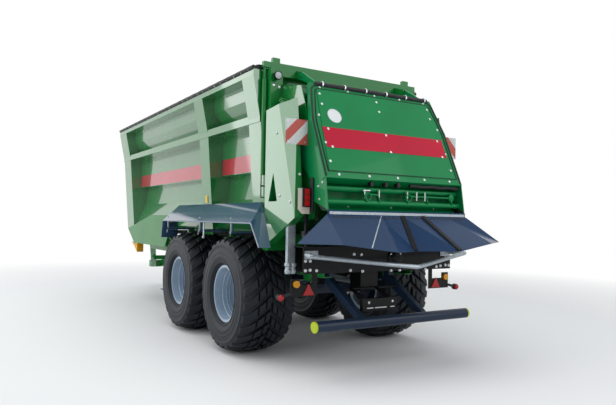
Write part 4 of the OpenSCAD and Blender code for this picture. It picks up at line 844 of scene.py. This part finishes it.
screw_size, before_hood = 0.0115, 0.4
band_screws = [(k * 0.83, rise) for k in (-1, 0, 1) for rise in (0.383, 0.614)]
foot_screws = [(k * 0.413, 0.045) for k in (-2, -1, 0, 1, 2)]
panel_screws = [(k * 0.83, rise) for k in (-1, 0, 1) for rise in (0.945, 1.085)]
edge_screws = [(k * 0.905, rise) for k in (-1, 1) for rise in (0.2, 0.433, 0.792)]
head_screws = [(k * 0.4, 1.185) for k in (-2, -1, 0, 1, 2)]
hood_solids = ["hood_band", "hood_panel", "hood_shell"]
hood_screws = Form()
for across, rise in band_screws + foot_screws + panel_screws + edge_screws + head_screws:
    place, facing = first_seat(hood_solids, on_hood(across, rise, before_hood), -hood_out)
    hood_screws.button(place, facing, screw_size)
hood_screws.piece("hood_screws", "hood", bright_zinc)

edge_line = [(1.0, 0.02), (1.0, 0.73), (0.913, 1.205)]
edge_half, edge_h, edge_bend = 0.011, 0.013, 0.09
edge_strip = Form()
strip_path = [on_hood(a, r) for a, r in edge_line] + [on_hood(-a, r) for a, r in edge_line[::-1]]
edge_strip.swept(eased(strip_path, edge_bend), half_round(edge_half, edge_h), hood_out)
# The inner dark strip follows the panel's seam: painted shade of the gap, drawn as black rubber.
seam_shade_line = [(0.958, 0.082), (0.958, 0.735), (0.875, 1.155)]
seam_half, seam_h, seam_bend = 0.006, 0.011, 0.05
seam_shade_path = [on_hood(a, r) for a, r in seam_shade_line] + [on_hood(-a, r) for a, r in seam_shade_line[::-1]]
seam_shade_loop = eased(seam_shade_path, seam_bend) + [on_hood(*seam_shade_line[0])]
edge_strip.swept(seam_shade_loop, half_round(seam_half, seam_h), hood_out)
edge_strip.piece("hood_edge_strip", "hood", seal)

lip_half, lip_rise, lip_steps = 0.86, 1.222, 24
lip_out, lip_sway, lip_beat = 0.004, 0.003, 1.7
head_lip_half, head_lip_h = 0.026, 0.028
lip_path = []
for k in range(lip_steps + 1):
    across = lip_half - 2 * lip_half * k / lip_steps
    lip_path.append(on_hood(across, lip_rise, lip_out + lip_sway * sin(lip_beat * k)))
head_lip = Form()
head_lip.swept(lip_path, half_round(head_lip_half, head_lip_h), hood_out)
head_lip.piece("hood_head_lip", "hood", seal)
clip_places = [0.134 + k * 0.316 for k in (-3, -2, -1, 0, 1, 2)]
clip_section = [(0.036, 0.0), (0.03, 0.024), (0.012, 0.037), (-0.012, 0.037), (-0.03, 0.024), (-0.036, 0.0),
                (-0.033, 0.0), (-0.028, 0.021), (-0.011, 0.034), (0.011, 0.034), (0.028, 0.021), (0.033, 0.0)]
clip_half = 0.009
clips = Form()
for across in clip_places:
    outline = [on_hood(across - clip_half, lip_rise + a, b + lip_out) for a, b in clip_section]
    clips.plate(outline, (0, 2 * clip_half, 0))
clips.piece("hood_lip_clips", "hood", bright_zinc)


# Speed disc and warning boards: blank reflective film on thin plates. The boards at both sides of the hood
# have the usual red and white stripes, which fall away outwards.
def striped_film():
    """Reflective film in red and white stripes, with the fine net of its cells."""
    made, shader, wire, place = finish("striped_film")
    low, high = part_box("warning_boards")
    across = wire.node("SeparateXYZ", None, {0: place}, out="Y")
    height = wire.node("SeparateXYZ", None, {0: place}, out="Z")
    fall = (high.y + high.z) - (wire.node("Math", {"operation": "ABSOLUTE"}, {0: across}) + height)
    stripe = wire.node("Math", {"operation": "FRACT"}, {0: fall * (1 / (high.z - low.z))}) > 0.5
    cells = wire.node("TexVoronoi", {"feature": "DISTANCE_TO_EDGE"}, {"Vector": place, "Scale": 220.0})
    net = slope(cells, 0.02, 0.1)
    tint = blend(stripe, rgb("#dfe2e2"), rgb("#c43316"))
    feed(shader, Base_Color=blend(net, shade(rgb("#9a9a9a"), 0.8), tint), Roughness=0.42 - 0.12 * net,
         Specular_IOR_Level=0.15, Normal=bump(wire, 0.1, 0.0003, net))
    return made


dress(striped_film(), "warning_boards")
white_film = enamel("white_film", rgb("#e4e7e6"), 0.36, 0.05, coat=0.3)
dress(white_film, "speed_sign")
sign_low, sign_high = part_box("speed_sign")
sign_r = (sign_high.y - sign_low.y) / 2
before_sign = 0.3
rim_sink, rim_inset, rim_t = 0.002, 0.004, 0.0045
sign_centre = first_seat(["speed_sign"], (sign_low + sign_high) / 2 + before_sign * hood_out, -hood_out)[0]
sign_rim = Form()
sign_rim.hoop(sign_centre - rim_sink * hood_out, hood_out, sign_r - rim_inset, rim_t, 64)
sign_rim.piece("speed_disc_rim", "hood", galvanised)
board_low, board_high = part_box("warning_boards")
board_inset, board_far, board_screw_size = 0.03, 0.25, 0.006
board_screws = Form()
for y in (board_high.y - board_inset, board_high.y - board_far):
    for z in (board_low.z + board_inset, board_high.z - board_inset):
        board_screws.button((board_low.x, y, z), (-1, 0, 0), board_screw_size)
board_screws.mirrored()
board_screws.piece("board_screws", "hood", bright_zinc)


# Hood recess: two cross tubes carry the latches that hold the hood's lower edge. Brackets join the tubes,
# with a pull rod, ring handles and zinc pins between them. A rolled rubber flap lies under the right half,
# and rubber flaps close the corners.
upper_tube, lower_tube = at(-1.613, 0, 2.045), at(-1.666, 0, 1.895)
bracket_places = [0.45, 0.27, -0.15, -0.46, -0.86]
bracket_half, bracket_out = 0.006, 0.045
latches = Form()
for y in bracket_places:
    outline = [upper_tube + Vector((0.01, 0, 0.01)), upper_tube + Vector((-bracket_out, 0, 0.0)),
               lower_tube + Vector((-bracket_out, 0, 0.02)), lower_tube + Vector((-0.01, 0, -0.01))]
    latches.plate([p + Vector((0, y - bracket_half, 0)) for p in outline], (0, 2 * bracket_half, 0))
handle_x, handle_z, handle_r, handle_t = -1.69, 1.965, 0.042, 0.009
for y in (0.43, -0.17):
    latches.hoop(at(handle_x, y, handle_z), (1, 0, 0), handle_r, handle_t, 32)
pull_x, pull_z, pull_r = -1.672, 1.99, 0.012
for left_end, right_end in ((0.47, 0.25), (-0.13, -0.88)):
    latches.bar(at(pull_x, left_end, pull_z), at(pull_x, right_end, pull_z), pull_r)
knob_y = -0.872
knob_profile = [(0, 0.045), (0.012, 0.045), (0.016, 0.04)]
latches.turned(knob_profile, at(pull_x, knob_y, pull_z), (-1, 0, 0), 28)
latches.piece("hood_latches", "hood", hood_green, edge=0.002)

pin_x, pin_r = pull_x - 0.012, 0.008
pin_low, pin_head, pin_high = pull_z - 0.05, pull_z + 0.02, pull_z + 0.055
pin_collar, lever_r = 0.011, 0.009
pins = Form()
for y in (0.47, 0.265, -0.155, -0.30, -0.43):
    pins.bar(at(pin_x, y, pin_low), at(pin_x, y, pin_high), pin_r)
    pins.bolt(at(pin_x, y, pin_head), (0, 0, 1), pin_collar)
pins.bar(at(handle_x, 0.50, 2.03), at(handle_x, 0.40, 2.035), lever_r)
behind_recess, recess_bolt_z, recess_bolt_size = -2.4, 1.85, 0.013
for y in (0.617, -0.674, 0.0):
    place, facing = first_seat(["hood_shell"], at(behind_recess, y, recess_bolt_z), (1, 0, 0))
    pins.bolt(place, facing, recess_bolt_size)
beside_flap, flap_bolt_size = 1.5, 0.012
for x, z in ((-1.66, 2.1), (-1.58, 2.06), (-1.6, 1.92)):
    for hand in (1, -1):
        place, facing = first_seat(["hood_shell"], at(x, beside_flap * hand, z), (0, -hand, 0))
        pins.bolt(place, facing, flap_bolt_size)
pins.piece("latch_pins", "hood", bright_zinc)

flap_r, flap_l, flap_steps = 0.021, 0.81, 20
flap_x, flap_start, flap_z = -1.668, -0.2, 2.112
flap_sway, flap_beat = 0.004, 0.9
rubber_flap = Form()
flap_run = [at(flap_x, flap_start - flap_l * k / flap_steps, flap_z + flap_sway * sin(flap_beat * k))
            for k in range(flap_steps + 1)]
rubber_flap.swept(flap_run, round_section(flap_r, 12), Vector((1, 0, 0)))
stop_half = 0.02
for y in (0.371, 0.163, -0.019):
    rubber_flap.block(at(-1.69, y - stop_half, 2.085), at(-1.63, y + stop_half, 2.14))
rubber_flap.piece("hood_flap_roll", "hood", seal, edge=0.003)
corner_line = [(-1.495, 1.925), (-1.495, 1.895), (-1.635, 1.802), (-1.764, 1.802), (-1.764, 1.83)]
corner_in, corner_t = 0.992, 0.011
corner_flaps = Form()
corner_flaps.plate([at(x, corner_in, z) for x, z in corner_line], (0, corner_t, 0))
corner_flaps.mirrored()
corner_flaps.piece("hood_corner_flaps", "hood", seal, edge=0.002)


# Hood cylinders: painted barrels with ground and chromed rods, pinned beside the hood.
# The rods keep a film of oil, so they stay bright.
def chrome(name):
    """Ground hard chrome with fine rings."""
    made, shader, wire, place = finish(name)
    rings = cloud(wire.node("Mapping", None, {"Vector": place, "Scale": (1.0, 1.0, 60.0)}), 9.0, 2.0)
    feed(shader, Base_Color=blend(rings, rgb("#b9bdc2"), rgb("#d4d7da")), Metallic=1.0,
         Roughness=0.14 + 0.1 * rings)
    return made


dress(green, "hood_barrels")
dress(chrome("chromed_rod"), "hood_rods")


# Apron: a folded sheet that hangs from the hood's lower edge by a zinc strip. The row of slots under the
# strip is drawn as dark rubber strips: painted shade inside the slots. Two raised ribs stiffen it, and
# a weld runs down the left facet.
# The navy base colour is the sheet's anthracite with a painted blue sky reflection mixed in.
apron_paint_and_sky = enamel("apron_paint_and_sky", rgb("#15365a"), 0.24, 0.04, coat=0.15, shine=0.1, sway=0.0015)
dress(apron_paint_and_sky, "apron")
apron_x, apron_top = -1.774, 1.756
strip_half, strip_low, strip_h, strip_t = 1.0, 0.004, 0.034, 0.004
hinge_strip = Form()
hinge_strip.block(at(apron_x - strip_t, -strip_half, apron_top + strip_low),
                  at(apron_x, strip_half, apron_top + strip_h))
strip_bolts = [-0.95 + 1.9 * k / 10 for k in range(11)]
strip_bolt_rise, strip_bolt_size = 0.02, 0.0055
for y in strip_bolts:
    hinge_strip.button(at(apron_x - strip_t, y, apron_top + strip_bolt_rise), (-1, 0, 0), strip_bolt_size)
hinge_strip.piece("apron_hinge_strip", "hood", galvanised)

# Dark half-round rubber strips stand for the slots' openings: painted shade.
slot_count, slot_half_l, slot_half_h, slot_t, slot_drop = 17, 0.04, 0.011, 0.005, 0.026
slot_reach, behind_apron = 0.92, -2.6
slot_shades = Form()
for k in range(slot_count):
    y = -slot_reach + 2 * slot_reach * k / (slot_count - 1)
    place, facing = first_seat(["apron"], at(behind_apron, y, apron_top - slot_drop), (1, 0, 0))
    path = [place + Vector((0, a * slot_half_l, 0)) for a in (-1, -0.5, 0.5, 1)]
    slot_shades.swept(path, half_round(slot_half_h, slot_t), facing)
slot_shades.piece("apron_slot_shades", "hood", seal)


onto_apron = Vector((0.5, 0, -0.35))


def on_apron(start, end, steps=12):
    """A line between two places, laid on the apron, with the way that the sheet faces at its middle."""
    line = []
    for k in range(steps + 1):
        along = Vector(start).lerp(Vector(end), 0.02 + 0.96 * k / steps)
        line.append(first_seat(["apron"], along - onto_apron, onto_apron))
    return [place for place, facing in line], line[steps // 2][1]


rib_section = [(0.034, 0.0), (0.026, 0.02), (-0.026, 0.02), (-0.034, 0.0)]
rib_lines = [((0, apron_top), (-2.008, 0, 1.365)), ((-0.299, apron_top), (-2.25, -0.45, 1.371))]
ribs = Form()
for (y, z), foot in rib_lines:
    path, facing = on_apron(at(apron_x, y, z), at(*foot))
    ribs.swept(path, rib_section, facing)
ribs.piece("apron_ribs", "hood", black)
weld_half, weld_h = 0.007, 0.004
weld = Form()
path, facing = on_apron(at(apron_x, 0.299, apron_top), at(-2.2, 0.76, 1.41))
weld.swept(path, half_round(weld_half, weld_h), facing)
weld.piece("apron_weld", "hood", galvanised)


# Guard tube and underrun bar: a bent zinc tube fences the discs off, and a round bar on two struts closes the
# space under the rear. The bar's ends have lime plastic caps. A blank plate holder with three bright strips
# hangs from a rod between the struts.
dress(galvanised, "guard_tube")
dress(anthracite, "underrun_bar")
lime = enamel("lime_plastic", rgb("#bccf1e"), 0.42, 0.1, coat=0.2)
dress(lime, "underrun_caps")
tube_start = at(-1.44, 1.075, 1.31)
tube_plate_t, tube_bolt_size = 0.012, 0.01
tube_plates = Form()
tube_plates.block(tube_start + Vector((-tube_plate_t, -0.15, -0.045)), tube_start + Vector((0, 0.02, 0.045)))
for y in (-0.13, -0.07):
    for z in (-0.026, 0.026):
        tube_plates.bolt(tube_start + Vector((-tube_plate_t, y, z)), (-1, 0, 0), tube_bolt_size)
tube_plates.mirrored()
tube_plates.piece("guard_tube_plates", "trailer", galvanised, edge=0.002)

strut_y, behind_struts = 0.46, -2.6
rod_z, rod_r, rod_in = 0.88, 0.011, 0.03
rod_x = first_seat(["underrun_bar"], at(behind_struts, strut_y, rod_z), (1, 0, 0))[0].x + rod_in
holder_low, holder_high = at(-1.53, -0.14, 0.655), at(-1.475, 0.36, 0.80)
arm_x, arm_half, arm_t = holder_high.x - 0.012, 0.02, 0.008
arm_foot, arm_knee, arm_lap = holder_high.z - 0.05, holder_high.z + 0.01, 0.012
holder = Form()
holder.bar((rod_x, -strut_y, rod_z), (rod_x, strut_y, rod_z), rod_r)
holder.block(holder_low, holder_high)
for y in (0.3, -0.08):
    side = y - arm_half
    arm = [(arm_x, side, arm_foot), (arm_x + arm_t, side, arm_foot), (rod_x + arm_t, side, rod_z),
           (rod_x, side, rod_z + arm_lap), (arm_x, side, arm_knee)]
    holder.plate(arm, (0, 2 * arm_half, 0))
holder.piece("plate_holder", "trailer", black, edge=0.005)
trim_strips = [(0.253, 0.045), (0.096, 0.085), (-0.076, 0.03)]
trim_low, trim_high, trim_out, trim_in = 0.686, 0.697, 0.004, 0.002
holder_screw_z, holder_screw_size = 0.754, 0.011
holder_trim = Form()
for y, half in trim_strips:
    holder_trim.block((holder_low.x - trim_out, y - half, trim_low),
                      (holder_low.x + trim_in, y + half, trim_high))
for y in (0.268, -0.081):
    holder_trim.button((holder_low.x, y, holder_screw_z), (-1, 0, 0), holder_screw_size)
holder_trim.piece("plate_holder_screws", "trailer", bright_zinc)


# Lamps: tail lamps in dark cases on pale cream plates beside rubber flaps, with red triangles and amber side
# lamps on arms under the carrier. Red marker lamps stand out at both sides on rubber stalks. The plates'
# cream is a painted reflection.
red_lens = lens_plastic("red_lens", rgb("#c4101c"))
dress(red_lens, "rear_lamps", "reflectors")
dress(lens_plastic("amber_lens", rgb("#f2a414")), "side_lamps")
# The pale cream stands for a cream reflection on the plates: painted reflection.
lamp_plate_reflection = enamel("lamp_plate_reflection", rgb("#d8d2c2"), 0.3, 0.08, coat=0.5)
dress(lamp_plate_reflection, "lamp_plates")

tail_low, tail_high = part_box("rear_lamps")
tail_in = 1.056
case_t, case_out = 0.009, 0.002
# Two black bars across each lens stand for its divider grooves: painted shade.
divider_groove_shades = ((0.062, 0.066), (0.126, 0.13))
cases = Form()
for low, high in (
        ((tail_in - case_t, tail_low.z - case_t), (tail_in, tail_high.z + case_t)),
        ((tail_high.y, tail_low.z - case_t), (tail_high.y + case_t, tail_high.z + case_t)),
        ((tail_in, tail_low.z - case_t), (tail_high.y, tail_low.z)),
        ((tail_in, tail_high.z), (tail_high.y, tail_high.z + case_t)),
        *(((tail_in, tail_low.z + a), (tail_high.y, tail_low.z + b)) for a, b in divider_groove_shades)):
    cases.block((tail_low.x - case_out, *low), (tail_high.x, *high))
cases.mirrored()
cases.piece("tail_lamp_cases", "trailer", black, edge=0.0015)
lamp_flap_x = tail_high.x
lamp_flaps = Form()
lamp_flaps.block((lamp_flap_x - 0.05, 1.02, 1.77), (lamp_flap_x + 0.004, 1.04, 2.16))
lamp_flaps.mirrored()
lamp_flaps.piece("lamp_flaps", "trailer", seal, edge=0.006)

stalk_x, stalk_r, stalk_bend = -1.316, 0.017, 0.02
stalk_line = [(1.175, 0.875), (1.22, 0.872), (1.262, 0.858), (1.305, 0.846)]
marker_y, marker_z = 1.325, 0.844
marker_case = [(-0.03, 0.03), (-0.024, 0.038), (0.024, 0.038), (0.03, 0.03)]
stalks = Form()
stalk_path = [at(stalk_x, y, z) for y, z in stalk_line]
stalks.swept(eased(stalk_path, stalk_bend), round_section(stalk_r, 14), Vector((1, 0, 0)))
stalks.turned(marker_case, at(stalk_x, marker_y, marker_z), (1, 0, 0), 28)
stalks.mirrored()
stalks.piece("marker_stalks", "trailer", seal)
lens_x = -1.344
dome = [(0.0, 0.034), (0.008, 0.032), (0.016, 0.025), (0.021, 0.013), (0.022, 0.003)]
markers = Form()
markers.turned(dome, at(lens_x, marker_y, marker_z), (-1, 0, 0), 28)
markers.mirrored()
markers.piece("marker_lenses", "trailer", red_lens)
